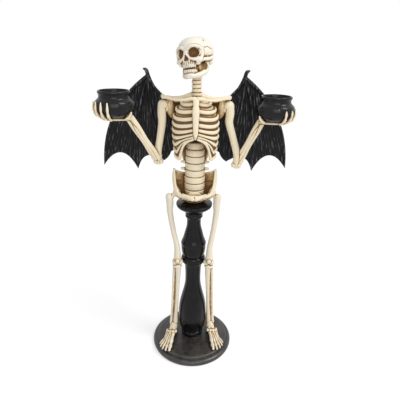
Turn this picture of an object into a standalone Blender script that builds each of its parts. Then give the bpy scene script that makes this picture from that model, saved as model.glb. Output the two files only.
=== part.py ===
# Skeleton candle holder: a cast resin skeleton with bat wings stands on a turned column and a
# round base, and holds a small cauldron for a tealight in each hand.
# Metres, +Z up. The figure faces -Y, and its own left side is at +X.
# The origin is the centre of the base's underside.
import bmesh
import bpy
from math import cos, hypot, pi, radians, sin, tan
from mathutils import Matrix, Vector

gap = 0.0003                       # between pieces that rest on each other

# Base: a low turned plinth with a rolled rim
base_radius = 0.0736
base_rim_height = 0.0088
base_top_radius = 0.0655
base_edge_height = 0.0142          # plateau at its edge
base_height = 0.0175               # plateau at the column
base_steps = 32

# Column: a turned baluster, radii at its named places
column_height = 0.2695             # from the base's plateau to the disc
column_bulb_radius = 0.0256
column_foot_radius = 0.0200
column_waist_radius = 0.0137
column_ring_radius = 0.0210
column_vase_radius = 0.0217
column_neck_radius = 0.0121
column_disc_radius = 0.0301
column_spigot_radius = 0.008
column_spigot_length = 0.009
column_steps = 18

# Cauldrons: squat pots with a cup for a tealight
pot_height = 0.036
pot_bulge_radius = 0.0286
pot_neck_radius = 0.0219
pot_rim_radius = 0.0231
pot_foot_radius = 0.016
cup_radius = 0.0202
cup_depth = 0.017
pot_steps = 18
pot_centre = {-1: (-0.1145, -0.038), 1: (0.118, -0.012)}
pot_lift = {-1: 0.1457, 1: 0.1397}           # each pot's underside above the column's disc

# Pelvis and spine, heights from the column's disc
pelvis_half_width = 0.0370
pelvis_front = 0.025
pelvis_back = 0.0175
pelvis_wall = 0.0036
hip_x = 0.0298
hip_y, hip_height = -0.0062, 0.0185
hip_ball_radius = 0.0054
spine_y = 0.0078
spine_radius = 0.0168
spine_taper = 0.0005                # less on each ring up from the fourth
vertebra_height = 0.0112
vertebra_count = 9
process_half_width = 0.0212
neck_radius = 0.0078
neck_ring_height = 0.0060
neck_ring_count = 7
neck_peg_length = 0.0075

# Ribcage, heights from the column's disc to each rib at the side
chest_half_width = 0.0370
chest_depth = 0.0278               # from the middle to the breastbone, and to the back
chest_wall = 0.0024
chest_top = 0.1712
rib_count = 9
rib_top = 0.1632
rib_pitch = 0.0101
rib_relief = 0.0022
chest_columns = 20
breastbone_radius = 0.0042
collarbone_radius = 0.0022

# Skull
skull_half_width = 0.0235
skull_half_length = 0.0290
skull_half_height = 0.0215
skull_turn = radians(29.5)         # towards the figure's right
skull_lean = radians(11)
skull_nod = radians(-7.7)          # the chin is lifted
skull_lift = 0.0259                # middle of the skull above the top neck ring
skull_x, skull_y = -0.0015, 0.003
orbit_x, orbit_z = 0.0112, -0.0022
orbit_radius = 0.0082
mouth_z = -0.0220                  # the line between the rows of teeth
chin_z = -0.0362
tooth_radius = 0.0013
tooth_height = 0.0056

# Arms
shoulder_x, shoulder_y, shoulder_height = 0.0508, 0.004, 0.1572
shoulder_ball_radius = 0.0068
humerus_radius = 0.0051
elbow_place = {-1: (-0.0586, 0.004, 0.0682), 1: (0.0662, 0.004, 0.0641)}
forearm_radius = 0.0031
finger_radius = 0.0017
palm_thickness = 0.0055
# angle of each finger round its pot, outwards from straight ahead, and the height of the tips
finger_angles = {-1: (8, 27, 48, 68), 1: (21, 43, 66, 87)}
finger_rise = {-1: 0.0060, 1: 0.0017}

# Legs
knee_x, knee_y, knee_height = 0.0270, -0.0140, 0.1635   # height above the base's plateau
femur_radius = 0.0051
trochanter_radius = 0.0066
trochanter_out = {-1: 0.0098, 1: 0.0068}     # past the middle of the hip's ball
knee_radius = 0.0055
tibia_radius = 0.0041
fibula_radius = 0.0029
ankle_height = 0.0310              # above the base's plateau
ankle = {-1: (-0.0335, -0.011), 1: (0.0330, -0.0065)}
toe_lengths = (0.0430, 0.0440, 0.0425, 0.0395, 0.0350)
toe_angles = (9, 18, 27, 36, 45)
toe_radius = 0.0024

# Wings: flat plates with raised finger bones, heights from the column's disc
wing_thickness = 0.0024
wing_root_x = 0.013
wing_back_y = 0.0312
wing_sweep = radians(6.5)
wing_turn = {-1: radians(-1.75), 1: radians(1.75)}
wing_bone_radius = 0.0019
wing_shoulder = (0.0500, 0.1607)
wing_hook = (0.0872, 0.2045)
wing_wrist = (0.0823, 0.1952)
wing_tips = ((0.1556, 0.0412), (0.0953, 0.0394), (0.0511, 0.0585))

bone_colour = (0.80, 0.71, 0.55, 1)
black_colour = (0.012, 0.012, 0.013, 1)

column_top = base_height + column_height
seat = column_top + gap
elbow = {side: (x, y, seat + up) for side, (x, y, up) in elbow_place.items()}
pot_floor = {side: seat + up for side, up in pot_lift.items()}


# Scene and materials

for old in list(bpy.data.objects):
    bpy.data.objects.remove(old)

holder = bpy.data.collections.new("skeleton_candle_holder")
cutters = bpy.data.collections.new("cutters")
bpy.context.scene.collection.children.link(holder)
bpy.context.scene.collection.children.link(cutters)


def material(name, colour, roughness, coat=0.0):
    made = bpy.data.materials.new(name)
    made.use_nodes = True
    shader = made.node_tree.nodes["Principled BSDF"]
    shader.inputs["Base Color"].default_value = colour
    shader.inputs["Roughness"].default_value = roughness
    shader.inputs["Metallic"].default_value = 0.0
    shader.inputs["Coat Weight"].default_value = coat
    made.diffuse_color = colour
    return made


# Working pieces

def add_object(name, mesh):
    obj = bpy.data.objects.new(name, mesh)
    cutters.objects.link(obj)
    obj.hide_render = True
    obj.display_type = 'WIRE'
    return obj


def from_bmesh(name, bm):
    bmesh.ops.recalc_face_normals(bm, faces=bm.faces[:])
    mesh = bpy.data.meshes.new(name)
    bm.to_mesh(mesh)
    bm.free()
    return add_object(name, mesh)


def as_mesh(obj, name, weld=False):
    """The object as it stands, as a plain mesh. A curve's caps are welded on."""
    bpy.context.view_layer.update()
    seen = obj.evaluated_get(bpy.context.evaluated_depsgraph_get())
    mesh = bpy.data.meshes.new_from_object(seen)
    bm = bmesh.new()
    bm.from_mesh(mesh)
    if weld:
        bmesh.ops.remove_doubles(bm, verts=bm.verts[:], dist=0.000002)
        bmesh.ops.recalc_face_normals(bm, faces=bm.faces[:])
    bm.to_mesh(mesh)
    bm.free()
    made = add_object(name, mesh)
    made.matrix_world = obj.matrix_world.copy()
    bpy.data.objects.remove(obj)
    return made


def curve_through(points, radii, count):
    """Evenly counted points and radii on a smooth curve through the given ones."""
    last = len(points) - 1
    out = []
    for k in range(count):
        at = k * last / (count - 1)
        i = min(int(at), last - 1)
        t = at - i
        a, b, c, d = (Vector((*points[j], radii[j])) for j in
                      (max(i - 1, 0), i, i + 1, min(i + 2, last)))
        out.append(0.5 * (2 * b + (c - a) * t + (2 * a - 5 * b + 4 * c - d) * t * t
                          + (3 * b - a - 3 * c + d) * t ** 3))
    return out


def tube(points, radii, count=6, sides=8, wide=1.0):
    """A round bone on a smooth path. With wide over 1 its section is an ellipse."""
    if not hasattr(radii, "__len__"):
        radii = [radii] * len(points)
    curve = bpy.data.curves.new("bone", 'CURVE')
    curve.dimensions = '3D'
    curve.use_fill_caps = True
    curve.twist_mode = 'Z_UP'
    section = None
    if wide == 1.0:
        curve.bevel_depth = 1.0
        curve.bevel_resolution = sides // 2 - 2
    else:
        ring = bpy.data.curves.new("section", 'CURVE')
        ring.dimensions = '2D'
        loop = ring.splines.new('POLY')
        loop.points.add(sides - 1)
        loop.use_cyclic_u = True
        for k, point in enumerate(loop.points):
            point.co = (wide * cos(2 * pi * k / sides), sin(2 * pi * k / sides), 0, 1)
        section = add_object("section", ring)
        curve.bevel_mode = 'OBJECT'
        curve.bevel_object = section
    spline = curve.splines.new('POLY')
    spline.points.add(count - 1)
    for point, here in zip(spline.points, curve_through(points, radii, count)):
        point.co = (here.x, here.y, here.z, 1)
        point.radius = here.w
    made = as_mesh(add_object("bone", curve), "bone", weld=True)
    if section:
        bpy.data.objects.remove(section)
    return made


def ball(centre, radii, segments=10, rings=6):
    if not hasattr(radii, "__len__"):
        radii = (radii,) * 3
    bm = bmesh.new()
    bmesh.ops.create_uvsphere(bm, u_segments=segments, v_segments=rings, radius=1)
    bmesh.ops.transform(bm, matrix=Matrix.Translation(centre) @ Matrix.Diagonal((*radii, 1)),
                        verts=bm.verts[:])
    return from_bmesh("ball", bm)


def turned(name, profile, steps, centre=(0, 0, 0)):
    """A lathe-turned solid. The profile runs from the axis at the top, down the outer side."""
    mesh = bpy.data.meshes.new(name)
    mesh.from_pydata([(r, 0, z) for r, z in profile],
                     [(k, k + 1) for k in range(len(profile) - 1)], [])
    obj = add_object(name, mesh)
    obj.location = centre
    screw = obj.modifiers.new("Turn", 'SCREW')
    screw.steps = screw.render_steps = steps
    screw.use_merge_vertices = True
    screw.merge_threshold = 0.00001
    return obj


def combine(name, pieces, operation='UNION', solver='MANIFOLD'):
    """The first piece with the others joined to it or cut from it. The exact solver leaves
    open edges where many small round bones meet, so these closed pieces use the other one."""
    body = pieces[0]
    for piece in pieces[1:]:
        step = body.modifiers.new("Combine", 'BOOLEAN')
        step.operation = operation
        step.solver = solver
        step.object = piece
    made = as_mesh(body, name)
    for piece in pieces[1:]:
        bpy.data.objects.remove(piece)
    fill_pockets(made.data)
    return made


def fill_pockets(mesh):
    """Keeps the outer skin: small voids closed in between joined bones become solid, and
    edges too short to matter go."""
    bm = bmesh.new()
    bm.from_mesh(mesh)
    bmesh.ops.dissolve_degenerate(bm, dist=0.00002, edges=bm.edges[:])
    flaps = [face for face in bm.faces if any(edge.is_boundary for edge in face.edges)
             and any(len(edge.link_faces) > 2 for edge in face.edges)]
    bmesh.ops.delete(bm, geom=flaps, context='FACES')
    left, shells = set(bm.verts), []
    while left:
        shell, front = [], [left.pop()]
        while front:
            vert = front.pop()
            shell.append(vert)
            for edge in vert.link_edges:
                other = edge.other_vert(vert)
                if other in left:
                    left.remove(other)
                    front.append(other)
        shells.append(shell)
    shells.sort(key=len)
    for shell in shells[:-1]:
        bmesh.ops.delete(bm, geom=shell, context='VERTS')
    loose = [edge for edge in bm.edges if not edge.link_faces]
    bmesh.ops.delete(bm, geom=loose, context='EDGES')
    bm.to_mesh(mesh)
    bm.free()


def simplify(obj, share):
    """Merges the slivers that the joins leave, down to a share of the faces."""
    step = obj.modifiers.new("Simplify", 'DECIMATE')
    step.ratio = share
    made = as_mesh(obj, obj.name)
    fill_pockets(made.data)
    return made


def finish(obj, name, look, share=1.0, smooth=40):
    """Files a finished piece under its name and gives it its own material."""
    if share < 1:
        obj = simplify(obj, share)
    cutters.objects.unlink(obj)
    holder.objects.link(obj)
    obj.name = obj.data.name = name
    obj.hide_render = False
    obj.display_type = 'TEXTURED'
    obj.data.materials.clear()
    obj.data.materials.append(material(name + "_finish", *look))
    obj.data.shade_smooth()
    obj.data.set_sharp_from_angle(angle=radians(smooth))


bone_look = (bone_colour, 0.55)
gloss_look = (black_colour, 0.22, 0.3)
wing_look = (black_colour, 0.38)


def at(table, x):
    """Straight-line reading of a table of (place, value) pairs."""
    for (x0, y0), (x1, y1) in zip(table, table[1:]):
        if x <= x1:
            return y0 + (y1 - y0) * max(0, (x - x0) / (x1 - x0))
    return table[-1][1]


# Base and column

def base_profile(grow=0.0):
    """Outer side of the base from the plateau's edge to the underside."""
    bead = base_radius - base_top_radius
    return [(base_top_radius * 0.45 + grow, base_height - 0.0008 + grow),
            (base_top_radius * 0.92 + grow, base_edge_height + 0.0006 + grow),
            (base_top_radius + grow, base_edge_height - 0.0012 + grow),
            (base_top_radius + bead * 0.10 + grow, base_rim_height + grow),
            (base_top_radius + bead * 0.45 + grow, base_rim_height + 0.0012 + grow),
            (base_radius - bead * 0.12 + grow, base_rim_height * 0.78 + grow),
            (base_radius + grow, base_rim_height * 0.5),
            (base_radius - bead * 0.25, 0)]


def make_base():
    socket = column_spigot_radius + gap
    floor = base_height - column_spigot_length - gap
    profile = [(0, floor), (socket, floor), (socket, base_height)] + base_profile() + [(0, 0)]
    finish(turned("base", profile, base_steps), "base", gloss_look)


def make_column():
    """A bulb at the foot, a waist, a ringed vase, a slim neck and a wide disc."""
    foot, h = base_height + gap, column_height - gap
    spigot = column_spigot_radius
    profile = [(0, column_top), (column_disc_radius - 0.0012, column_top),
               (column_disc_radius, column_top - 0.0022),
               (column_disc_radius * 0.93, column_top - 0.0062),
               (column_disc_radius * 0.66, column_top - 0.0130),
               (column_neck_radius + 0.0022, column_top - 0.0175),
               (column_neck_radius + 0.0022, column_top - 0.0262),
               (column_neck_radius, column_top - 0.0290),
               (column_neck_radius * 1.03, foot + h * 0.842),
               (column_vase_radius * 0.82, foot + h * 0.7585),
               (column_vase_radius, foot + h * 0.7195),
               (column_vase_radius * 0.97, foot + h * 0.685),
               (column_vase_radius * 0.86, foot + h * 0.640),
               (column_ring_radius - 0.0030, foot + h * 0.630),
               (column_ring_radius, foot + h * 0.610),
               (column_ring_radius, foot + h * 0.598),
               (column_ring_radius - 0.0050, foot + h * 0.576),
               (column_waist_radius, foot + h * 0.500),
               (column_waist_radius, foot + h * 0.430),
               (column_bulb_radius * 0.758, foot + h * 0.337),
               (column_bulb_radius * 0.922, foot + h * 0.258),
               (column_bulb_radius, foot + h * 0.150),
               (column_bulb_radius * 0.90, foot + h * 0.075),
               (column_foot_radius - 0.0030, foot + 0.0085),
               (column_foot_radius, foot + 0.0050),
               (column_foot_radius, foot),
               (spigot, foot), (spigot, base_height - column_spigot_length), ]
    profile.append((0, profile[-1][1]))
    finish(turned("column", profile, column_steps), "column", gloss_look)


# Cauldrons

def pot_side(grow=0.0):
    """Outer side of a cauldron from the rim down, heights from its underside."""
    h, bulge, foot = pot_height, pot_bulge_radius, pot_foot_radius
    side = [(pot_rim_radius - 0.0008, h), (pot_rim_radius, h - 0.0018),
            (pot_neck_radius, h - 0.0055), (pot_neck_radius + 0.0010, h * 0.72),
            (bulge * 0.94, h * 0.60), (bulge, h * 0.44), (bulge * 0.955, h * 0.27),
            (bulge * 0.80, h * 0.11), (foot, 0)]
    return [(r + grow, z) for r, z in side]


def make_pot(side, name):
    profile = ([(0, pot_height - cup_depth), (cup_radius, pot_height - cup_depth),
                (cup_radius, pot_height)] + pot_side() + [(0, 0)])
    obj = turned(name, profile, pot_steps, (*pot_centre[side], pot_floor[side]))
    finish(obj, name, gloss_look)


def pot_cutter(side):
    """The space that a pot takes in its hand, a gap larger all round."""
    profile = ([(0, pot_height + 0.004), (pot_rim_radius + gap, pot_height + 0.004)]
               + pot_side(gap) + [(pot_foot_radius + gap, -gap), (0, -gap)])
    return turned("pot_space", profile, pot_steps, (*pot_centre[side], pot_floor[side]))


# Torso

def closed_shell(outer, inner, columns, outer_rows, inner_rows):
    """A wall between two surfaces that go once round, as one grid: down the outer surface, up
    the inner one and back to the start. Each surface takes shares of the turn and the way down."""
    rows = ([(outer, k / outer_rows) for k in range(outer_rows + 1)]
            + [(inner, 1 - k / inner_rows) for k in range(inner_rows + 1)] + [(outer, 0)])
    bm = bmesh.new()
    bmesh.ops.create_grid(bm, x_segments=columns, y_segments=len(rows) - 1, size=1)
    for vert in bm.verts:
        surface, down = rows[round((1 - vert.co.y) / 2 * (len(rows) - 1))]
        vert.co = surface((1 + vert.co.x) / 2, down)
    bmesh.ops.remove_doubles(bm, verts=bm.verts[:], dist=0.000002)
    return from_bmesh("shell", bm)


def chest_surface(angle, height, inset):
    """A point of the ribcage's wall. Angle 0 is the breastbone; height is above the disc."""
    reach = at(((0.070, 0.88), (0.110, 0.99), (0.126, 1.0), (0.141, 0.965), (0.153, 0.85),
                (0.1632, 0.64), (0.1700, 0.42), (0.1760, 0.26)), height)
    deep = at(((0.070, 0.86), (0.100, 1.0), (0.126, 1.02), (0.141, 0.99), (0.153, 0.90),
               (0.1632, 0.76), (0.1700, 0.56), (0.1760, 0.36)), height)
    x = (chest_half_width * reach - inset) * sin(angle)
    y = -(chest_depth * deep - inset) * cos(angle)
    return Vector((x, y, seat + height))


def rib_line(angle, rib):
    """Height of a rib at an angle round the chest. The lower ribs climb to the breastbone, the
    last three ever later, which leaves the arch over the belly. All climb to the spine."""
    side_height = rib_top - rib * rib_pitch
    if cos(angle) > 0:
        low = max(0, rib - 5)
        climb = 0.0009 * max(0, rib - 2) ** 1.95
        start = min(1, abs(sin(angle)) / (1 - 0.12 * low)) ** (2.3 + 0.37 * low)
        return side_height + climb * (1 - start) - 0.0025 * abs(sin(2 * angle))
    return side_height + 0.010 * min(1, rib / 3) * (1 - sin(angle) ** 2)


def make_ribcage():
    # three rows a rib: two along its crest and one in the groove under it
    rows = [(-0.62, 0), (-0.45, 0)]
    for rib in range(rib_count):
        rows += [(rib - 0.24, 1), (rib + 0.20, 1), (rib + 0.48, 0)]
    rows = rows[:-1]

    def outer(u, v):
        angle = 2 * pi * u
        rib, crest = rows[round(v * (len(rows) - 1))]
        height = rib_line(angle, rib)
        room = rib_line(angle, rib - 0.5) - rib_line(angle, rib + 0.5)
        relief = rib_relief * min(1, room / rib_pitch) * (0.5 if crest else -0.5)
        if rib < 0:
            height, relief = chest_top + (0.45 + rib) * -0.012, 0
        return chest_surface(angle, height, -relief)

    def inner(u, v):
        angle = 2 * pi * u
        rib = rows[0][0] + v * (rows[-1][0] - rows[0][0])
        height = rib_line(angle, rib) if rib > 0 else chest_top - 0.001 - v * 0.05
        if v == 0:
            height = chest_top + 0.17 * 0.012
        if v == 1:
            height = rib_line(angle, rows[-1][0])
        return chest_surface(angle, height, chest_wall + rib_relief / 2)

    return closed_shell(outer, inner, chest_columns, len(rows) - 1, rib_count)


def make_pelvis():
    """A basin: low at the pubis, steep up to the hip points, falling to the back."""
    rim = ((0, 0.0187), (50, 0.0187), (62, 0.0243), (69, 0.032), (75, 0.046), (80, 0.0577),
           (95, 0.0565), (125, 0.050), (150, 0.0457), (180, 0.0457))
    turns = [0, 26, 48, 61, 68, 74, 79, 90, 106, 126, 150, 180]
    turns += [360 - a for a in reversed(turns[:-1])]

    def surface(inset, lowest):
        def place(u, v):
            turn = turns[round(u * (len(turns) - 1))]
            front = turn if turn <= 180 else 360 - turn
            high = at(rim, front)
            low = 0.0055 + 0.0035 * (front < 60)
            flare = at(((0, 0.945), (0.35, 1), (0.7, 0.74), (1, 0.59)), v)
            wide = pelvis_half_width * flare - inset
            deep = (pelvis_front if front < 90 else pelvis_back) * (0.78 + 0.22 * (1 - v)) - inset
            height = high + (low - high) * v + lowest * v
            return Vector((wide * sin(radians(turn)), -deep * cos(radians(turn)), seat + height))
        return place

    return closed_shell(surface(0, 0), surface(pelvis_wall, 0.0008), len(turns) - 1, 4, 2)


def spine_profile():
    """Stacked vertebrae, each a drum with a groove over and under it."""
    top = vertebra_height * vertebra_count
    profile = [(0, top)]
    for k in range(vertebra_count):
        high = top - k * vertebra_height
        swell = spine_radius - spine_taper * max(0, vertebra_count - 4 - k)
        profile += [(swell - 0.0018, high - 0.0002), (swell, high - 0.0016),
                    (swell, high - vertebra_height + 0.0016)]
    return profile + [(spine_radius - 0.0018, 0), (0, 0)]


neck_foot = 0.1645
neck_top = neck_foot + neck_ring_count * neck_ring_height


def neck_profile(grow=0.0):
    peg = neck_radius - 0.0016 + grow
    top = neck_top + neck_peg_length + grow
    profile = [(0, top), (peg, top), (peg, neck_top + grow)]
    for k in range(neck_ring_count):
        high = neck_top - k * neck_ring_height
        profile += [(neck_radius + grow, high - neck_ring_height * 0.45),
                    (neck_radius - 0.0013 + grow, high - neck_ring_height)]
    return profile + [(neck_radius * 1.35, neck_foot - 0.004), (neck_radius * 1.5, neck_foot - 0.012),
                      (0, neck_foot - 0.012)]


def wing_place(side):
    """From a wing's own plane, outwards, back and up, to the holder."""
    return (Matrix.Translation((side * wing_root_x, wing_back_y, 0))
            @ Matrix.Rotation(side * wing_sweep, 4, 'Z'))


def side_bones(side):
    """Collarbone, shoulder blade, acromion, socket of the arm, hip socket and sit bone."""
    def put(x, y, height):
        return (side * x, y, seat + height)

    # the roof over the shoulder's ball, which the collarbone and the blade's ridge run to
    roof = shoulder_height + shoulder_ball_radius + 0.0058
    parts = [tube([put(0.0030, -0.0215, chest_top - 0.0012), put(0.0160, -0.0190, chest_top - 0.0027),
                   put(0.0285, -0.0150, (chest_top + roof) / 2 - 0.0030),
                   put(shoulder_x - 0.0108, -0.0085, roof - 0.0006),
                   put(shoulder_x - 0.0013, -0.0035, roof + 0.0002)],
                  [collarbone_radius * s for s in (1.35, 1.0, 0.95, 1.0, 1.35)], 7, 8),
             tube([put(shoulder_x - 0.0013, -0.0040, roof - 0.0003),
                   put(shoulder_x - 0.0008, 0.0050, roof + 0.0002),
                   put(shoulder_x - 0.0088, 0.0150, shoulder_height + 0.0058),
                   put(0.0260, 0.0240, shoulder_height - 0.0027)],
                  [0.0030, 0.0032, 0.0026, 0.0022], 6, 6),
             ball(put(shoulder_x - 0.0090, shoulder_y + 0.0005, shoulder_height - 0.0002),
                  (0.0060, 0.0065, 0.0080), 10, 6),
             ball(put(hip_x - 0.0026, hip_y + 0.0017, hip_height + 0.0005),
                  (0.0064, 0.0074, 0.0082), 10, 6),
             tube([put(hip_x - 0.0036, hip_y + 0.0012, hip_height - 0.0035),
                   put(0.0215, -0.0035, 0.0085), put(0.0170, 0.0010, 0.0036)],
                  [0.0050, 0.0044, 0.0034], 4, 6)]
    # the blade itself: a triangle from the socket down to its lower corner
    outline = bpy.data.curves.new("blade", 'CURVE')
    outline.dimensions = '2D'
    outline.fill_mode = 'BOTH'
    outline.extrude = 0.0014
    spline = outline.splines.new('POLY')
    corners = [(0.0470, 0.0068), (0.0480, -0.0072), (0.0420, -0.0242), (0.0290, -0.0512),
               (0.0220, -0.0422), (0.0180, -0.0052), (0.0300, 0.0068)]
    spline.points.add(len(corners) - 1)
    spline.use_cyclic_u = True
    for point, (x, up) in zip(spline.points, corners):
        point.co = (x, shoulder_height + up, 0, 1)
    blade = add_object("blade", outline)
    blade.matrix_world = (Matrix.Translation((0, 0.0355, seat))
                          @ Matrix.Rotation(-side * radians(34), 4, 'Z')
                          @ Matrix.Rotation(radians(90), 4, 'X') @ Matrix.Diagonal((side, 1, 1, 1)))
    blade = as_mesh(blade, "blade", weld=True)
    bm = bmesh.new()
    bm.from_mesh(blade.data)
    bmesh.ops.transform(bm, matrix=blade.matrix_world, verts=bm.verts[:])
    blade.matrix_world = Matrix()
    bmesh.ops.recalc_face_normals(bm, faces=bm.faces[:])
    bm.to_mesh(blade.data)
    bm.free()
    parts.append(blade)
    # pad on the back that the wing is fixed to
    bm = bmesh.new()
    bmesh.ops.create_cube(bm, size=1)
    pad = (Matrix.Translation((side * 0.011, -0.005 - gap, seat + 0.128))
           @ Matrix.Diagonal((0.014, 0.010, 0.034, 1)))
    bmesh.ops.transform(bm, matrix=wing_place(side) @ pad, verts=bm.verts[:])
    parts.append(from_bmesh("pad", bm))
    return parts


def make_torso():
    def put(x, y, height):
        return (x, y, seat + height)

    spine = turned("spine", spine_profile(), 14, put(0, spine_y, 0))
    neck = turned("neck", neck_profile(), 12, put(0.0006, 0.001, 0))
    hidden = tube([put(0, spine_y, 0.090), put(0, 0.0170, 0.108), put(0, 0.0210, 0.135),
                   put(0, 0.0150, 0.158), put(0, 0.0020, 0.166)], 0.0085, 6, 8)
    pieces = [make_ribcage(), spine, neck, make_pelvis(), hidden]
    for height in (0.0665, 0.0555):
        pieces.append(tube([put(-process_half_width, spine_y, height),
                            put(process_half_width, spine_y, height)], 0.0026, 2, 6))
    pieces.append(tube([put(0, -0.0225, 0.1690), put(0, -0.0275, 0.1560), put(0, -0.0290, 0.1400),
                        put(0, -0.0298, 0.1180), put(0, -0.0300, 0.1095)],
                       [breastbone_radius * 0.45 * s for s in (1.3, 1.0, 0.95, 0.80, 0.15)],
                       8, 8, wide=1 / 0.45))
    for side in (-1, 1):
        pieces += side_bones(side)
    torso = combine("torso", pieces)
    spaces = []
    for side in (-1, 1):
        spaces.append(ball(shoulder(side), shoulder_ball_radius + gap * 2.6, 10, 6))
        spaces.append(upper_arm(side, gap * 2.2))
        spaces.append(ball(hip(side), hip_ball_radius + gap * 3.5, 10, 6))
        spaces.append(femur_neck(side, gap * 2.5))
    torso = combine("torso", [torso] + spaces, 'DIFFERENCE')
    finish(torso, "torso", bone_look, 0.555)


# Skull

def make_skull():
    """A cranium with open orbits and nose, cheekbones, a jaw and two rows of teeth."""
    def both(build):
        return [build(side) for side in (-1, 1)]

    w, l, h = skull_half_width, skull_half_length, skull_half_height
    pieces = [ball((0, 0.002, 0), (w, l, h), 18, 10),
              ball((0, -0.0140, -0.0045), (w * 0.88, 0.0135, 0.0130), 12, 6),
              ball((0, -0.0180, mouth_z + 0.0070), (0.0112, 0.0110, 0.0086), 10, 6)]
    # cheekbones and the arches behind them
    pieces += both(lambda s: ball((s * 0.0145, -0.0195, -0.0118), (0.0060, 0.0056, 0.0052), 8, 6))
    pieces += both(lambda s: tube(
        [(s * 0.0160, -0.0195, -0.0122), (s * 0.0206, -0.0105, -0.0122),
         (s * 0.0220, 0.0010, -0.0110)], [0.0040, 0.0030, 0.0024], 4, 6))
    jaw = 0.0042
    pieces.append(tube(
        [(-0.0185, -0.0045, -0.0110), (-0.0168, -0.0075, -0.0265), (-0.0122, -0.0165, chin_z + 0.0042),
         (0, -0.0258, chin_z + jaw), (0.0122, -0.0165, chin_z + 0.0042),
         (0.0168, -0.0075, -0.0265), (0.0185, -0.0045, -0.0110)],
        [0.0026, 0.0036, 0.0040, jaw, 0.0040, 0.0036, 0.0026], 11, 6))
    arch = [radians(a) for a in range(-60, 61, 20)]
    for z, reach in ((mouth_z + tooth_height / 2, 0.0106), (mouth_z - tooth_height / 2, 0.0100)):
        for a in arch:
            pieces.append(ball((reach * sin(a), -0.0178 - reach * cos(a), z),
                               (tooth_radius, tooth_radius, tooth_height * 0.6), 6, 3))
    pieces.append(ball((0, -0.0180, (mouth_z + chin_z) / 2), (0.0104, 0.0100, 0.0068), 10, 5))
    pieces.append(ball((0, -0.0225, chin_z + 0.0048), (0.0082, 0.0066, 0.0048), 8, 6))
    skull = combine("skull", pieces)
    hollows = both(lambda s: ball((s * orbit_x, -0.0270, orbit_z),
                                  (orbit_radius, 0.0105, orbit_radius * 0.93), 12, 6))
    hollows.append(ball((0, -0.0300, orbit_z - 0.0064), (0.0034, 0.0068, 0.0048), 8, 6))
    skull = combine("skull", [skull] + hollows, 'DIFFERENCE')
    centre = Matrix.Translation((skull_x, skull_y, seat + neck_top + skull_lift))
    skull.matrix_world = (centre @ Matrix.Rotation(-skull_lean, 4, 'Y')
                          @ Matrix.Rotation(-skull_turn, 4, 'Z')
                          @ Matrix.Rotation(skull_nod, 4, 'X'))
    neck = turned("neck_space", neck_profile(gap * 3), 12, (0.0006, 0.001, seat))
    skull = combine("skull", [simplify(skull, 0.62), neck], 'DIFFERENCE')
    finish(skull, "skull", bone_look)


# Arms

def shoulder(side):
    return (side * shoulder_x, shoulder_y, seat + shoulder_height)


def upper_arm(side, grow=0.0):
    top, bend = Vector(shoulder(side)), Vector(elbow[side])
    r = humerus_radius
    return tube([top, top + Vector((side * 0.0015, 0, -0.018)), (top + bend) / 2
                 + Vector((side * -0.0005, 0, 0)), bend + Vector((0, 0, 0.008)), bend],
                [r * s + grow for s in (1.30, 1.05, 0.94, 0.98, 1.1)], 6, 6)


def make_arm(side, name):
    """Upper arm, two forearm bones, a palm under the pot and fingers round it."""
    top, bend = Vector(shoulder(side)), Vector(elbow[side])
    centre = Vector((*pot_centre[side], pot_floor[side]))
    palm = centre + Vector((side * 0.002, 0.002, -gap - palm_thickness / 2))
    wrist = centre + Vector((side * -0.0185, 0.0110, -gap - palm_thickness * 0.75))
    across = (wrist - bend).cross(Vector((0, 1, 0))).normalized()
    r = humerus_radius
    pieces = [upper_arm(side),
              ball(top, shoulder_ball_radius, 10, 6),
              ball(bend, (r * 1.42, r * 1.25, r * 1.18), 8, 5)]
    for offset, size in ((-1, 1.1), (1, 0.85)):
        middle = (bend + wrist) / 2 + across * offset * forearm_radius * 1.35
        start = bend + across * offset * forearm_radius * 0.9
        end = wrist + across * offset * forearm_radius * 0.7
        f = forearm_radius * size
        pieces.append(tube([start, middle, end], [f * 1.2, f * 0.85, f * 1.15], 6, 6))
    pieces.append(tube([bend.lerp(wrist, 0.04), bend.lerp(wrist, 0.96)], 0.0013, 2, 8, wide=2.6))
    pieces.append(ball(wrist, (forearm_radius * 1.9, forearm_radius * 1.7, 0.0036), 8, 6))
    pieces.append(tube([wrist, palm + Vector((side * -0.004, 0.001, -0.0008)),
                        palm + Vector((side * 0.010, -0.006, 0))],
                       [palm_thickness * 0.62, palm_thickness * 0.60, palm_thickness * 0.5],
                       5, 8, wide=2.1))
    bulge = pot_bulge_radius
    for degrees in finger_angles[side]:
        a = radians(degrees)
        out = Vector((side * sin(a), -cos(a), 0))
        f = finger_radius
        path = [palm + out * 0.004, centre + out * (pot_foot_radius + 0.001) + Vector((0, 0, -f - gap)),
                centre + out * (bulge * 0.91) + Vector((0, 0, pot_height * 0.10)),
                centre + out * (bulge + f * 0.5) + Vector((0, 0, pot_height * 0.36)),
                centre + out * (bulge * 0.985 + f * 0.5)
                + Vector((0, 0, pot_height * 0.44 + finger_rise[side]))]
        pieces.append(tube(path, [f * 1.3, f * 1.2, f * 1.05, f * 1.1, f * 0.7], 6, 6))
    thumb = Vector((side * -0.86, -0.5, 0))
    pieces.append(tube([wrist, centre + thumb * (bulge * 0.86) + Vector((0, 0, 0.0005)),
                        centre + thumb * (bulge * 1.02) + Vector((0, 0, pot_height * 0.20))],
                       [finger_radius * 1.5, finger_radius * 1.3, finger_radius * 0.8], 5, 6))
    arm = simplify(combine(name, pieces), 0.54)
    arm = combine(name, [arm, pot_cutter(side)], 'DIFFERENCE')
    finish(arm, name, bone_look)


# Legs

def hip(side):
    return (side * hip_x, hip_y, seat + hip_height)


def trochanter(side):
    return Vector(hip(side)) + Vector((side * trochanter_out[side], -0.0020, -0.0085))


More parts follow.
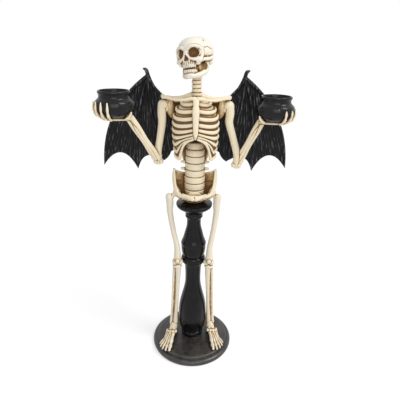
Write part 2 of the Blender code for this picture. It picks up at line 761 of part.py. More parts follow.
def femur_neck(side, grow=0.0):
    return tube([hip(side), trochanter(side)],
                [hip_ball_radius * 0.62 + grow, trochanter_radius * 0.8 + grow], 2, 6)


def base_cutter():
    """The base with a gap on top, cut from each foot so that the sole follows the plateau."""
    profile = [(0, base_height + gap)] + base_profile(gap) + [(0, 0)]
    return turned("base_space", profile, base_steps)


def make_leg(side, name):
    """Thigh bone with its ball, kneecap, the two shin bones and a foot of five rays."""
    head = Vector(hip(side))
    thigh = trochanter(side)
    knee = Vector((side * knee_x, knee_y, base_height + knee_height))
    foot = Vector((*ankle[side], base_height))
    heel = foot + Vector((0, 0, ankle_height))
    r = femur_radius
    pieces = [ball(head, hip_ball_radius, 10, 6),
              femur_neck(side),
              tube([thigh + Vector((side * 0.0012, 0, 0.0035)),
                    thigh + Vector((0, -0.0005, -0.012)),
                    thigh.lerp(knee, 0.45) + Vector((side * 0.0010, -0.0010, 0)),
                    knee + Vector((side * 0.0008, 0, 0.020)), knee],
                   [trochanter_radius * 0.9, r * 1.2, r * 0.92, r * 1.05, r * 1.3], 7, 6)]
    for offset in (-1, 1):
        pieces.append(ball(knee + Vector((offset * knee_radius * 0.72, 0, -0.001)),
                           (knee_radius, knee_radius * 1.15, knee_radius * 1.15), 8, 5))
    pieces.append(ball(knee + Vector((0, -knee_radius * 1.10, 0.0032)), (0.0041, 0.0034, 0.0045), 8, 5))
    plate = knee + Vector((side * 0.0008, 0, -0.0092))
    pieces.append(ball(plate, (knee_radius * 1.55, knee_radius * 1.05, 0.0042), 8, 5))
    t, f = tibia_radius, fibula_radius
    inner, outer = Vector((-side * 0.0026, 0, 0)), Vector((side * 0.0048, 0.0010, 0))
    pieces.append(tube([plate, plate.lerp(heel, 0.25) + inner, plate.lerp(heel, 0.65) + inner,
                        heel + inner * 0.8], [t * 1.25, t, t * 0.85, t * 1.15], 5, 6))
    pieces.append(tube([plate + outer * 0.8, plate.lerp(heel, 0.3) + outer,
                        plate.lerp(heel, 0.7) + outer, heel + outer + Vector((0, 0, -0.004))],
                       [f * 1.2, f * 0.9, f * 0.85, f * 1.35], 5, 6))
    pieces.append(tube([plate + Vector((side * 0.0012, 0.0012, 0)),
                        heel + Vector((side * 0.0012, 0.0012, 0))], 0.0015, 2, 6, wide=2.4))
    back = Vector((-side * 0.0010, 0.0155, 0.0040))
    pieces.append(ball(heel + Vector((0, 0, -0.0035)), (0.0066, 0.0056, 0.0060), 8, 5))
    pieces.append(tube([heel + Vector((0, 0, -0.004)), foot + Vector((0, 0.006, 0.013)), foot + back],
                       [0.0058, 0.0056, 0.0046], 3, 6))
    instep = foot + Vector((side * 0.0062, -0.0120, 0.0098))
    pieces.append(tube([heel + Vector((0, -0.001, -0.005)), foot + Vector((side * 0.003, -0.004, 0.0165)),
                        instep], [0.0056, 0.0058, 0.0040], 3, 6, wide=1.3))
    for k, (length, degrees) in enumerate(zip(toe_lengths, toe_angles)):
        a = radians(degrees)
        out = Vector((side * sin(a), -cos(a), 0))
        tip = foot + out * length
        drop = base_edge_height - base_height
        size = toe_radius * (1.35 if k == 0 else 1.0 - 0.05 * k)
        start = foot + Vector((side * (0.0005 + 0.0030 * k), -0.0070 + 0.0010 * k, 0.0125))
        pieces.append(tube([start, foot + out * length * 0.60 + Vector((0, 0, 0.0074)),
                            foot + out * length * 0.80 + Vector((0, 0, 0.0034)),
                            tip + Vector((0, 0, 0.0012 + drop + size))],
                           [size * 1.25, size * 1.05, size * 1.15, size * 0.8], 4, 6))
    leg = combine(name, pieces)
    leg = combine(name, [leg, base_cutter()], 'DIFFERENCE')
    finish(leg, name, bone_look, 0.61)


# Wings

def bow(start, end, sag, count):
    """Points on a shallow bow from start to end, without the end itself."""
    (x0, z0), (x1, z1) = start, end
    length = hypot(x1 - x0, z1 - z0)
    nx, nz = -(z1 - z0) / length, (x1 - x0) / length
    out = []
    for k in range(count):
        t = k / count
        lift = 4 * sag * t * (1 - t)
        out.append((x0 + (x1 - x0) * t + nx * lift, z0 + (z1 - z0) * t + nz * lift))
    return out


def wing_outline():
    """Shoulder, hooked thumb, swept outer edge and three scalloped points."""
    first, second, third = wing_tips
    root_low, root_high = (wing_root_x, 0.1047), (wing_root_x, 0.1497)
    return (bow(root_high, wing_shoulder, 0.002, 2)
            + bow(wing_shoulder, (wing_hook[0] - 0.009, wing_hook[1] - 0.0020), -0.004, 5)
            + bow((wing_hook[0] - 0.009, wing_hook[1] - 0.0020), wing_hook, 0.002, 2)
            + bow(wing_hook, wing_wrist, -0.001, 1)
            + bow(wing_wrist, first, 0.0217, 8)
            + bow(first, second, -0.026, 6)
            + bow(second, third, -0.017, 5)
            + bow(third, (0.0390, 0.0752), 0.002, 2)
            + bow((0.0390, 0.0752), root_low, 0.003, 3) + [root_low])


def make_wing(side, name):
    outline = bpy.data.curves.new(name, 'CURVE')
    outline.dimensions = '2D'
    outline.fill_mode = 'BOTH'
    outline.extrude = wing_thickness / 2
    spline = outline.splines.new('POLY')
    points = wing_outline()
    spline.points.add(len(points) - 1)
    spline.use_cyclic_u = True
    for point, (x, z) in zip(spline.points, points):
        point.co = (x - wing_root_x, z, 0, 1)
    upright = Matrix.Diagonal((side, 1, 1, 1)) @ Matrix.Rotation(radians(90), 4, 'X')
    lay = Matrix.Translation((0, wing_thickness / 2, 0)) @ upright
    plate = add_object("plate", outline)
    plate = as_mesh(plate, "plate", weld=True)
    bm = bmesh.new()
    bm.from_mesh(plate.data)
    bmesh.ops.transform(bm, matrix=lay, verts=bm.verts[:])
    bpy.data.objects.remove(plate)
    pieces = [from_bmesh("plate", bm)]
    r = wing_bone_radius
    wrist = (wing_wrist[0] - 0.0030, wing_wrist[1] - 0.0030)
    first, second, third = wing_tips
    fingers = [
        [(wing_shoulder[0] - 0.008, wing_shoulder[1] - 0.004), (0.0690, 0.1777), wrist],
        [(wrist[0] - 0.0010, wrist[1] + 0.0010)] + bow((wing_wrist[0] - 0.002, wing_wrist[1] - 0.003),
                      (first[0] - 0.0030, first[1] + 0.008), 0.0205, 6)[1:]
        + [(first[0] - 0.0022, first[1] + 0.0100)],
        [(wrist[0], wrist[1] + 0.0006), (0.0900, 0.1527), (0.0970, 0.1027), (0.0965, 0.0577),
         (second[0], second[1] + 0.0060)],
        [(wrist[0] - 0.0012, wrist[1] - 0.0004), (0.0745, 0.1477), (0.0620, 0.1027),
         (third[0] + 0.0010, third[1] + 0.0060)]]
    for number, path in enumerate(fingers):
        thick = [r * (1.25 - 0.55 * k / (len(path) - 1)) for k in range(len(path))]
        level = 0.0001 + 0.0001 * number
        pieces.append(tube([(side * (x - wing_root_x), level, z) for x, z in path], thick,
                           len(path) + 2, 6))
    wing = combine(name, pieces)
    wing.matrix_world = (wing_place(side) @ Matrix.Translation((0, 0, seat + 0.12))
                         @ Matrix.Rotation(-wing_turn[side], 4, 'Y')
                         @ Matrix.Translation((0, 0, -0.12)))
    finish(wing, name, wing_look, 0.62)


make_base()
make_column()
make_torso()
make_skull()
for side, own in ((-1, "right"), (1, "left")):
    make_pot(side, "cauldron_" + own)
    make_arm(side, "arm_" + own)
    make_leg(side, "leg_" + own)
    make_wing(side, "wing_" + own)
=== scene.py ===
# Skeleton candle holder, dressed for its picture: painted resin bones, gloss black cauldrons,
# column and base, and satin black bat wings on a pale studio floor.
from math import cos, hypot, pi, radians, sin

import bmesh
import bpy
import numpy as np
from bpy.props import FloatProperty, FloatVectorProperty, StringProperty
from mathutils import Matrix, Vector, noise


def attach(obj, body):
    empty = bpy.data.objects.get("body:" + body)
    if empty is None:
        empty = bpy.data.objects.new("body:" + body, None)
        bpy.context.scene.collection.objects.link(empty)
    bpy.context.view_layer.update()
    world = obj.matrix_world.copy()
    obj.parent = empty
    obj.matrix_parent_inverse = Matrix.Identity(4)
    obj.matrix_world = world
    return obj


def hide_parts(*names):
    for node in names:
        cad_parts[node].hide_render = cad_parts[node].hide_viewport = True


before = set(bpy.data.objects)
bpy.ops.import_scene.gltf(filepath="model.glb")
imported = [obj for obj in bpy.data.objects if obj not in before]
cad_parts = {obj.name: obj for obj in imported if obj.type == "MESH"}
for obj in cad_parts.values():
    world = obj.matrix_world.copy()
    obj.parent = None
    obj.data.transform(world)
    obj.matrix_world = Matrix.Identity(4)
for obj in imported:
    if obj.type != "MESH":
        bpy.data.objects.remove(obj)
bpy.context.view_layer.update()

bl_info = {
    "name": "Skeleton candle holder",
    "version": (1, 0, 0),
    "blender": (4, 5, 0),
    "location": "View3D > Sidebar > Holder",
    "description": "Dresses the skeleton candle holder and sets its picture",
    "category": "Object",
}

# Heights in metres above the base's underside, as the solids have them
PLATEAU = 0.0175
DISC_TOP = 0.287
SEAT = 0.2873                      # underside of the bones that stand on the disc
GAP = 0.0003

ELBOW = {-1: (-0.0586, 0.004, SEAT + 0.0682), 1: (0.0662, 0.004, SEAT + 0.0641)}
POT = {-1: (-0.1145, -0.038, SEAT + 0.1457), 1: (0.118, -0.012, SEAT + 0.1397)}
FINGER_ANGLES = {-1: (8, 27, 48, 68), 1: (21, 43, 66, 87)}
FINGER_RISE = {-1: 0.0060, 1: 0.0017}
HIP_X = 0.0298
TROCHANTER_OUT = {-1: 0.0098, 1: 0.0068}
KNEE = (0.0270, -0.0140, PLATEAU + 0.1635)
ANKLE = {-1: (-0.0335, -0.011), 1: (0.0330, -0.0065)}


# The photograph's camera: just above the skull's height, looking a little down
PHOTO_PIXELS = 400
LENS, SENSOR = 34.2, 36.0
CAMERA_PLACE = Vector((0, -0.5834, 0.5326))


def camera_axes():
    """The camera's right, up and forward directions."""
    pitch, yaw, roll = radians(22.5), radians(0.93), radians(1.42)
    ahead = Vector((sin(yaw) * cos(pitch), cos(yaw) * cos(pitch), -sin(pitch)))
    right = Vector((cos(yaw), -sin(yaw), 0))
    up = right.cross(ahead)
    return right * cos(roll) + up * sin(roll), up * cos(roll) - right * sin(roll), ahead


# Sizes and colours that a user would change

class HolderSizes(bpy.types.PropertyGroup):
    grain: FloatProperty(name="Casting grain", description="Size of the smallest form a casting keeps",
                         default=0.0008, min=0.0004, max=0.003, precision=4, unit='LENGTH')
    rib_depth: FloatProperty(name="Rib depth", description="How far the ribs stand out of the chest wall",
                             default=0.0034, min=0.0005, max=0.0050, precision=4, unit='LENGTH')
    ridge_depth: FloatProperty(name="Wing ridge depth", description="Height of the fine ridges on the wings",
                               default=0.00040, min=0.0, max=0.0010, precision=5, unit='LENGTH')
    # reach of the occlusion that puts on the wash, and with it painted shade between parts
    wash_and_shade_reach: FloatProperty(name="Wash reach", description="How far the brown wash spreads out of a hollow",
                              default=0.0110, min=0.001, max=0.03, precision=4, unit='LENGTH')


class HolderColours(bpy.types.PropertyGroup):
    ivory: StringProperty(name="Ivory paint", description="Raised bone, sRGB hex", default="F6E8CB")
    bleached: StringProperty(name="Bleached paint", description="Skull, sRGB hex", default="F7F1E3")
    shank: StringProperty(name="Leg paint", description="Legs, sRGB hex", default="ECE1CC")
    wash: StringProperty(name="Brown wash", description="Paint left in the hollows, sRGB hex",
                         default="775632")
    black: StringProperty(name="Gloss black", description="Column and cauldrons, sRGB hex",
                          default="0F0E10")
    wing: StringProperty(name="Wing black", description="Wings, sRGB hex", default="09090B")
    floor: StringProperty(name="Floor", description="Studio floor, sRGB hex", default="F4F4F4")


def sizes():
    return bpy.context.scene.holder_sizes


def colours():
    return bpy.context.scene.holder_colours


# Materials

def linear(hex_colour):
    """An sRGB hex colour as linear light."""
    parts = [int(hex_colour[k:k + 2], 16) / 255 for k in (0, 2, 4)]
    return [c / 12.92 if c <= 0.04045 else ((c + 0.055) / 1.055) ** 2.4 for c in parts] + [1.0]


def add_node(tree, kind, links=(), stops=(), **settings):
    """Adds a node. Settings go to its sockets where one has that name, else to the node itself.
    Each link is (this node's input, other node, other node's output). Each stop of a colour ramp
    is (place, colour)."""
    node = tree.nodes.new(kind)
    for key, value in settings.items():
        socket = node.inputs.get(key.replace("_", " ")) if key[0].isupper() else None
        if socket is not None:
            socket.default_value = value
        else:
            setattr(node, key, value)
    for own, other, output in links:
        tree.links.new(other.outputs[output], node.inputs[own])
    for k, (place, colour) in enumerate(stops):
        if k >= len(node.color_ramp.elements):
            node.color_ramp.elements.new(place)
        node.color_ramp.elements[k].position = place
        node.color_ramp.elements[k].color = colour
    return node


def new_material(name):
    made = bpy.data.materials.new(name)
    made.use_nodes = True
    tree = made.node_tree
    return made, tree, tree.nodes["Principled BSDF"]


def antiqued_resin(name, ivory, wash, strength=1.0):
    """Cast polyresin painted ivory and wiped with a brown wash. The wash stays dark in the hollows,
    thins to tan on their slopes and leaves the crests nearly clean; the occlusion below also adds
    painted shade where other parts crowd round."""
    made, tree, shader = new_material(name)
    place = add_node(tree, "ShaderNodeTexCoord")
    # ambient occlusion, other pieces counted: partly the real wash in hollows, partly painted shade between
    # parts
    shelter = add_node(tree, "ShaderNodeAmbientOcclusion", Distance=sizes().wash_and_shade_reach, samples=8)
    hollow = add_node(tree, "ShaderNodeAttribute", attribute_name="wash")
    # cloudy patches about 12 mm across, where the wash was wiped less
    patch = add_node(tree, "ShaderNodeTexNoise", [("Vector", place, "Object")],
                     Scale=85.0, Detail=3.0, Roughness=0.6)
    # brush streaks and specks about 2 mm across
    speck = add_node(tree, "ShaderNodeTexNoise", [("Vector", place, "Object")],
                     Scale=420.0, Detail=4.0, Roughness=0.7)
    wash_and_painted_shade = add_node(tree, "ShaderNodeMapRange", [("Value", shelter, "AO")],
                         From_Min=0.92, From_Max=0.30, To_Min=0.0, To_Max=0.75 * strength)
    held = add_node(tree, "ShaderNodeMapRange", [("Value", hollow, "Fac")],
                    From_Min=-0.35, From_Max=1.0, To_Min=-0.18, To_Max=0.80 * strength)
    uneven = add_node(tree, "ShaderNodeMapRange", [("Value", patch, "Fac")],
                      From_Min=0.30, From_Max=0.70, To_Min=0.65, To_Max=1.25)
    fleck = add_node(tree, "ShaderNodeMapRange", [("Value", speck, "Fac")],
                     From_Min=0.30, From_Max=0.75, To_Min=-0.07, To_Max=0.12)
    both = add_node(tree, "ShaderNodeMath", [(0, wash_and_painted_shade, "Result"), (1, held, "Result")], operation='ADD')
    spread = add_node(tree, "ShaderNodeMath", [(0, both, "Value"), (1, uneven, "Result")],
                      operation='MULTIPLY')
    amount = add_node(tree, "ShaderNodeMath", [(0, spread, "Value"), (1, fleck, "Result")],
                      operation='ADD', use_clamp=True)
    paint = add_node(tree, "ShaderNodeValToRGB", [("Fac", amount, "Value")],
                     [(0.0, linear(ivory)), (0.14, linear("EADCC0")), (0.34, linear("D2B684")),
                      (0.60, linear("A98553")), (0.92, linear(wash))])
    rough = add_node(tree, "ShaderNodeMapRange", [("Value", speck, "Fac")], To_Min=0.40, To_Max=0.62)
    grain = add_node(tree, "ShaderNodeBump", [("Height", speck, "Fac")], Strength=0.20, Distance=0.0004)
    tree.links.new(paint.outputs["Color"], shader.inputs["Base Color"])
    tree.links.new(rough.outputs["Result"], shader.inputs["Roughness"])
    tree.links.new(grain.outputs["Normal"], shader.inputs["Normal"])
    shader.inputs["IOR"].default_value = 1.5
    shader.inputs["Specular IOR Level"].default_value = 0.35
    return made


def gloss_enamel(name, black, dust_and_sheen_colour="2C2927", dull=0.0, specular=0.5):
    """Cast resin sprayed with gloss black enamel: deep, a little orange-peeled, with soft dust, whose paler
    clouds are also a painted sheen.
    """
    made, tree, shader = new_material(name)
    place = add_node(tree, "ShaderNodeTexCoord")
    # orange peel, waves about 5 mm across
    peel = add_node(tree, "ShaderNodeTexNoise", [("Vector", place, "Object")],
                    Scale=200.0, Detail=2.0, Roughness=0.5)
    # dust and wear, clouds about 17 mm across; their paler parts are also a painted soft sheen, mostly on the
    # base
    dust_and_sheen = add_node(tree, "ShaderNodeTexNoise", [("Vector", place, "Object")],
                    Scale=60.0, Detail=5.0, Roughness=0.65)
    tone = add_node(tree, "ShaderNodeValToRGB", [("Fac", dust_and_sheen, "Fac")],
                    [(0.35, linear(black)), (0.75, linear(dust_and_sheen_colour))])
    rough = add_node(tree, "ShaderNodeMapRange", [("Value", dust_and_sheen, "Fac")], From_Min=0.3, From_Max=0.7,
                     To_Min=0.18 + dull, To_Max=0.32 + dull)
    bump = add_node(tree, "ShaderNodeBump", [("Height", peel, "Fac")], Strength=0.30, Distance=0.0008)
    tree.links.new(tone.outputs["Color"], shader.inputs["Base Color"])
    tree.links.new(rough.outputs["Result"], shader.inputs["Roughness"])
    tree.links.new(bump.outputs["Normal"], shader.inputs["Normal"])
    shader.inputs["IOR"].default_value = 1.5
    shader.inputs["Specular IOR Level"].default_value = specular
    shader.inputs["Coat Weight"].default_value = 0.20
    shader.inputs["Coat Roughness"].default_value = 0.07
    return made


def satin_wing(name, black):
    """Cast resin in satin black, its ridges and streaks painted a lighter grey as painted highlights."""
    made, tree, shader = new_material(name)
    place = add_node(tree, "ShaderNodeTexCoord")
    # fine upright streaks about 2 mm wide, their brighter parts painted highlights
    stretch = add_node(tree, "ShaderNodeMapping", [("Vector", place, "Object")], Scale=(1.0, 1.0, 0.10))
    streak = add_node(tree, "ShaderNodeTexNoise", [("Vector", stretch, "Vector")],
                      Scale=480.0, Detail=3.0, Roughness=0.6)
    # painted highlight: the crests of the skin are painted lighter
    crest = add_node(tree, "ShaderNodeAttribute", attribute_name="wash")
    painted_crest_highlight = add_node(tree, "ShaderNodeMapRange", [("Value", crest, "Fac")],
                    From_Min=-0.10, From_Max=-0.75, To_Min=0.0, To_Max=0.34)
    height = add_node(tree, "ShaderNodeMath", [(0, streak, "Fac"), (1, painted_crest_highlight, "Result")], operation='ADD')
    # the grey at the ramp's top stands for painted highlights on the streaks and crests
    tone = add_node(tree, "ShaderNodeValToRGB", [("Fac", height, "Value")],
                    [(0.46, linear(black)), (0.66, linear("1C1C1F")), (0.88, linear("77787B"))])
    rough = add_node(tree, "ShaderNodeMapRange", [("Value", streak, "Fac")], To_Min=0.44, To_Max=0.24)
    bump = add_node(tree, "ShaderNodeBump", [("Height", streak, "Fac")], Strength=0.5, Distance=0.0006)
    tree.links.new(tone.outputs["Color"], shader.inputs["Base Color"])
    tree.links.new(rough.outputs["Result"], shader.inputs["Roughness"])
    tree.links.new(bump.outputs["Normal"], shader.inputs["Normal"])
    shader.inputs["IOR"].default_value = 1.5
    shader.inputs["Specular IOR Level"].default_value = 0.18
    return made


def weather(obj, stain=0.0):
    """Stores how much wash each point holds: how far it lies under its own eased surface, at a fine
    and at a broad size, and how far its whole region is stained or given painted shade."""
    points, facing = coordinates(obj), normals(obj)
    count = len(points)
    ends = np.empty(len(obj.data.edges) * 2, np.int32)
    obj.data.edges.foreach_get("vertices", ends)
    a, b = ends[::2], ends[1::2]
    share = np.maximum(np.bincount(a, minlength=count) + np.bincount(b, minlength=count), 1)
    eased, wash = points.copy(), np.zeros(count)
    for passes, depth in ((8, 0.00012), (36, 0.00050)):
        for _ in range(passes):
            near = np.stack([np.bincount(a, eased[b, k], count) + np.bincount(b, eased[a, k], count)
                             for k in range(3)], 1)
            eased = (eased + near / share[:, None]) / 2
        wash += np.clip(((eased - points) * facing).sum(1) / depth, -0.6, 1.0)
    layer = obj.data.attributes.get("wash") or obj.data.attributes.new("wash", 'FLOAT', 'POINT')
    layer.data.foreach_set("value", (np.clip(wash, -0.4, 1.2) + stain).astype(np.float32))
    return obj


# Working clay: rings of points gathered into one lump, then cast as a single skin

def new_lump():
    return {"verts": [], "faces": [], "count": 0}


def add_rings(lump, rings, capped=True, looped=False):
    """Skins a row of equal closed rings. Capped ends close on their middle point."""
    start, n = lump["count"], len(rings[0])
    verts = np.concatenate([np.asarray(ring, float) for ring in rings])
    faces = []
    rows = len(rings)
    for k in range(rows if looped else rows - 1):
        a, b = start + k * n, start + ((k + 1) % rows) * n
        faces += [(a + i, a + (i + 1) % n, b + (i + 1) % n, b + i) for i in range(n)]
    if capped and not looped:
        first, last = start + rows * n, start + rows * n + 1
        verts = np.concatenate([verts, [np.mean(rings[0], axis=0), np.mean(rings[-1], axis=0)]])
        faces += [(first, start + (i + 1) % n, start + i) for i in range(n)]
        end = start + (rows - 1) * n
        faces += [(last, end + i, end + (i + 1) % n) for i in range(n)]
    lump["verts"].append(verts)
    lump["faces"] += faces
    lump["count"] += len(verts)


def smooth_path(points, per_span):
    """Points on a smooth curve through rows of numbers, such as (x, y, z, radius)."""
    p = np.asarray(points, float)
    last = len(p) - 1
    t = np.linspace(0, last, last * per_span + 1)
    i = np.minimum(t.astype(int), last - 1)
    u = (t - i)[:, None]
    a, b, c, d = p[np.maximum(i - 1, 0)], p[i], p[i + 1], p[np.minimum(i + 2, last)]
    return 0.5 * (2 * b + (c - a) * u + (2 * a - 5 * b + 4 * c - d) * u ** 2
                  + (3 * b - a - 3 * c + d) * u ** 3)


def add_bone(lump, points, radii, flat=1.0, face=(0, -1, 0), sides=16, per_span=7):
    """A rounded rod through the points. With flat over 1 it is that much wider across face."""
    if not hasattr(radii, "__len__"):
        radii = [radii] * len(points)
    flats = flat if hasattr(flat, "__len__") else [flat] * len(points)
    path = smooth_path([(*p, r, f) for p, r, f in zip(points, radii, flats)], per_span)
    along = np.gradient(path[:, :3], axis=0)
    along /= np.linalg.norm(along, axis=1)[:, None]
    across = np.cross(along, np.asarray(face, float))
    across /= np.maximum(np.linalg.norm(across, axis=1)[:, None], 1e-9)
    up = np.cross(across, along)
    turn = 2 * pi * np.arange(sides) / sides
    rings = []

    def ring(k, shrink, shift):
        r = max(path[k, 3], 0.0001)
        middle = path[k, :3] + along[k] * r * shift
        return (middle + shrink * r * (path[k, 4] * np.outer(np.cos(turn), across[k])
                                       + np.outer(np.sin(turn), up[k])))

    for a in (75, 50, 25):
        rings.append(ring(0, cos(radians(a)), -sin(radians(a))))
    rings += [ring(k, 1.0, 0.0) for k in range(len(path))]
    for a in (25, 50, 75):
        rings.append(ring(-1, cos(radians(a)), sin(radians(a))))
    add_rings(lump, rings)


def add_ball(lump, centre, radii, turn=None, sides=24, rows=14):
    if not hasattr(radii, "__len__"):
        radii = (radii,) * 3
    rings = []
    for k in range(1, rows):
        a = pi * k / rows
        b = 2 * pi * np.arange(sides) / sides
        ring = np.stack([np.cos(b) * sin(a), np.sin(b) * sin(a), np.full(sides, cos(a))], 1)
        rings.append(ring * radii)
    if turn is not None:
        rings = [ring @ np.array(turn.to_3x3()).T for ring in rings]
    add_rings(lump, [ring + np.asarray(centre, float) for ring in rings])


def add_turned(lump, profile, centre=(0, 0, 0), steps=48):
    """A lathe-turned form. The profile is (radius, height) from top to bottom."""
    b = 2 * pi * np.arange(steps) / steps
    rings = [np.stack([r * np.cos(b), r * np.sin(b), np.full(steps, z)], 1) + np.asarray(centre, float)
             for r, z in profile]
    add_rings(lump, rings)


def add_plate(lump, outline, thickness):
    """A flat slab on a closed outline of points in space."""
    p = np.asarray(outline, float)
    normal = np.cross(p[1] - p[0], p[-1] - p[0])
    normal /= np.linalg.norm(normal)
    centre = p.mean(axis=0)
    add_rings(lump, [centre + (p - centre) * 0.98 + normal * thickness / 2,
                     p + normal * thickness * 0.25, p - normal * thickness * 0.25,
                     centre + (p - centre) * 0.98 - normal * thickness / 2])


def to_object(name, lump):
    mesh = bpy.data.meshes.new(name)
    mesh.from_pydata(np.concatenate(lump["verts"]).tolist(), [], lump["faces"])
    bm = bmesh.new()
    bm.from_mesh(mesh)
    bmesh.ops.recalc_face_normals(bm, faces=bm.faces[:])
    bm.to_mesh(mesh)
    bm.free()
    made = bpy.data.objects.new(name, mesh)
    bpy.context.scene.collection.objects.link(made)
    return made


def applied(obj):
    """The object with its modifiers applied, and nothing left of them."""
    bpy.context.view_layer.update()
    graph = bpy.context.evaluated_depsgraph_get()
    mesh = bpy.data.meshes.new_from_object(obj.evaluated_get(graph))
    old = obj.data
    obj.modifiers.clear()
    obj.data = mesh
    bpy.data.meshes.remove(old)
    mesh.name = obj.name
    return obj


def cast(name, lump, grain=None, soften=3, hollows=None):
    """Casts the lump as one skin. Hollows are cut out and their edges softened with the rest."""
    obj = to_object(name, lump)
    grain = grain or sizes().grain
    skin = obj.modifiers.new("Skin", 'REMESH')
    skin.mode = 'VOXEL'
    skin.voxel_size = grain
    applied(obj)
    if hollows:
        cutter = to_object(name + "_hollows", hollows)
        fill = cutter.modifiers.new("Skin", 'REMESH')
        fill.mode = 'VOXEL'
        fill.voxel_size = grain
        applied(cutter)
        cut = obj.modifiers.new("Cut", 'BOOLEAN')
        cut.operation = 'DIFFERENCE'
        cut.solver = 'MANIFOLD'
        cut.object = cutter
        again = obj.modifiers.new("Skin", 'REMESH')
        again.mode = 'VOXEL'
        again.voxel_size = grain
        applied(obj)
        bpy.data.objects.remove(cutter)
    if soften:
        ease = obj.modifiers.new("Soften", 'SMOOTH')
        ease.factor = 0.5
        ease.iterations = soften
        applied(obj)
    return obj


def coordinates(obj):
    flat = np.empty(len(obj.data.vertices) * 3, np.float32)
    obj.data.vertices.foreach_get("co", flat)
    return flat.reshape(-1, 3).astype(float)


def set_coordinates(obj, points):
    obj.data.vertices.foreach_set("co", points.astype(np.float32).ravel())
    obj.data.update()


def normals(obj):
    flat = np.empty(len(obj.data.vertices) * 3, np.float32)
    obj.data.vertices.foreach_get("normal", flat)
    return flat.reshape(-1, 3).astype(float)


def seat_piece(obj, node, look):
    """Gives a finished piece its material and its place on the holder."""
    obj.data.materials.clear()
    obj.data.materials.append(look)
    obj.data.shade_smooth()
    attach(obj, "root")
    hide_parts(node)
    return obj


def reading(table, x):
    places, values = zip(*table)
    return np.interp(x, places, values)


# Base, column and cauldrons

def rounded_profile(points, per_span=5):
    """A turned profile eased between its named points. A point given twice stays a sharp edge."""
    runs, run = [], [points[0]]
    for before, here in zip(points, points[1:]):
        if before == here:
            runs.append(run)
            run = [here]
        else:
            run.append(here)
    runs.append(run)
    out = []
    for run in runs:
        eased = smooth_path(run, per_span).tolist() if len(run) > 2 else [list(p) for p in run]
        out += eased if not out else eased[1:]
    return [(max(r, 0.00002), z) for r, z in out]


def make_base():
    lump = new_lump()
    add_turned(lump, rounded_profile(
        [(0, 0.0175), (0.0170, 0.0175), (0.0295, 0.0167), (0.0460, 0.0158), (0.0600, 0.0149),
         (0.0640, 0.0142), (0.0655, 0.0128), (0.0662, 0.0100), (0.0662, 0.0100), (0.0676, 0.0100),
         (0.0691, 0.0100), (0.0716, 0.0087), (0.0732, 0.0066), (0.0736, 0.0044), (0.0732, 0.0018),
         (0.0716, 0.0), (0.0716, 0.0), (0, 0)]), steps=160)
    return to_object("round_base", lump)


def make_column():
    foot, h = PLATEAU + GAP, 0.2695 - GAP
    lump = new_lump()
    add_turned(lump, rounded_profile(
        [(0, DISC_TOP), (0.0286, DISC_TOP), (0.0286, DISC_TOP), (0.0298, DISC_TOP - 0.0008),
         (0.0301, DISC_TOP - 0.0024), (0.0294, DISC_TOP - 0.0052), (0.0272, DISC_TOP - 0.0078),
         (0.0215, DISC_TOP - 0.0118), (0.0165, DISC_TOP - 0.0158), (0.0146, DISC_TOP - 0.0176),
         (0.0146, DISC_TOP - 0.0176), (0.0150, DISC_TOP - 0.0190), (0.0145, DISC_TOP - 0.0206),
         (0.0138, DISC_TOP - 0.0216), (0.0138, DISC_TOP - 0.0216), (0.0146, DISC_TOP - 0.0232),
         (0.0146, DISC_TOP - 0.0252), (0.0134, DISC_TOP - 0.0266), (0.0134, DISC_TOP - 0.0266),
         (0.0122, DISC_TOP - 0.0290), (0.0118, foot + h * 0.868), (0.0124, foot + h * 0.838),
         (0.0152, foot + h * 0.798), (0.0180, foot + h * 0.7585), (0.0208, foot + h * 0.732),
         (0.0217, foot + h * 0.7195), (0.0217, foot + h * 0.7195), (0.0211, foot + h * 0.7120),
         (0.0210, foot + h * 0.685), (0.0200, foot + h * 0.655), (0.0186, foot + h * 0.637),
         (0.0172, foot + h * 0.630), (0.0172, foot + h * 0.630), (0.0190, foot + h * 0.6260),
         (0.0204, foot + h * 0.6180), (0.0210, foot + h * 0.608), (0.0207, foot + h * 0.600),
         (0.0196, foot + h * 0.595), (0.0196, foot + h * 0.595), (0.0200, foot + h * 0.591),
         (0.0192, foot + h * 0.583), (0.0160, foot + h * 0.576), (0.0160, foot + h * 0.576),
         (0.0146, foot + h * 0.552), (0.0137, foot + h * 0.500), (0.0138, foot + h * 0.430),
         (0.0160, foot + h * 0.376), (0.0194, foot + h * 0.325), (0.0228, foot + h * 0.272),
         (0.0247, foot + h * 0.225), (0.0256, foot + h * 0.165), (0.0250, foot + h * 0.110),
         (0.0225, foot + h * 0.062), (0.0172, foot + 0.0088), (0.0172, foot + 0.0088),
         (0.0188, foot + 0.0076), (0.0200, foot + 0.0048), (0.0196, foot + 0.0014),
         (0.0185, foot), (0.0185, foot), (0.0080, foot), (0.0080, foot), (0.0080, 0.0085),
         (0.0080, 0.0085), (0, 0.0085)]), steps=128)
    return to_object("turned_column", lump)


def make_cauldron(side):
    """A squat pot with a rolled rim, a short neck, a round belly and a cup for the tealight."""
    h, (x, y, z) = 0.036, POT[side]
    lump = new_lump()
    add_turned(lump, rounded_profile(
        [(0, h - 0.017), (0.0190, h - 0.017), (0.0190, h - 0.017), (0.0200, h - 0.0163),
         (0.0202, h - 0.0150), (0.0202, h - 0.0150), (0.0202, h - 0.0016), (0.0202, h - 0.0016),
         (0.0206, h - 0.0005), (0.0216, h), (0.0226, h - 0.0005), (0.0231, h - 0.0018),
         (0.0229, h - 0.0032), (0.0222, h - 0.0044), (0.0217, h - 0.0060), (0.0218, h - 0.0080),
         (0.0226, h * 0.72), (0.0250, h * 0.655), (0.0269, h * 0.60), (0.0282, h * 0.51),
         (0.0286, h * 0.43), (0.0281, h * 0.33), (0.0266, h * 0.235), (0.0238, h * 0.13),
         (0.0200, h * 0.05), (0.0160, 0.0003), (0.0150, 0), (0.0150, 0), (0, 0)]), (x, y, z), steps=112)
    return to_object("cauldron_body_" + ("right" if side < 0 else "left"), lump)


# Chest, the same rib lines as the solids have

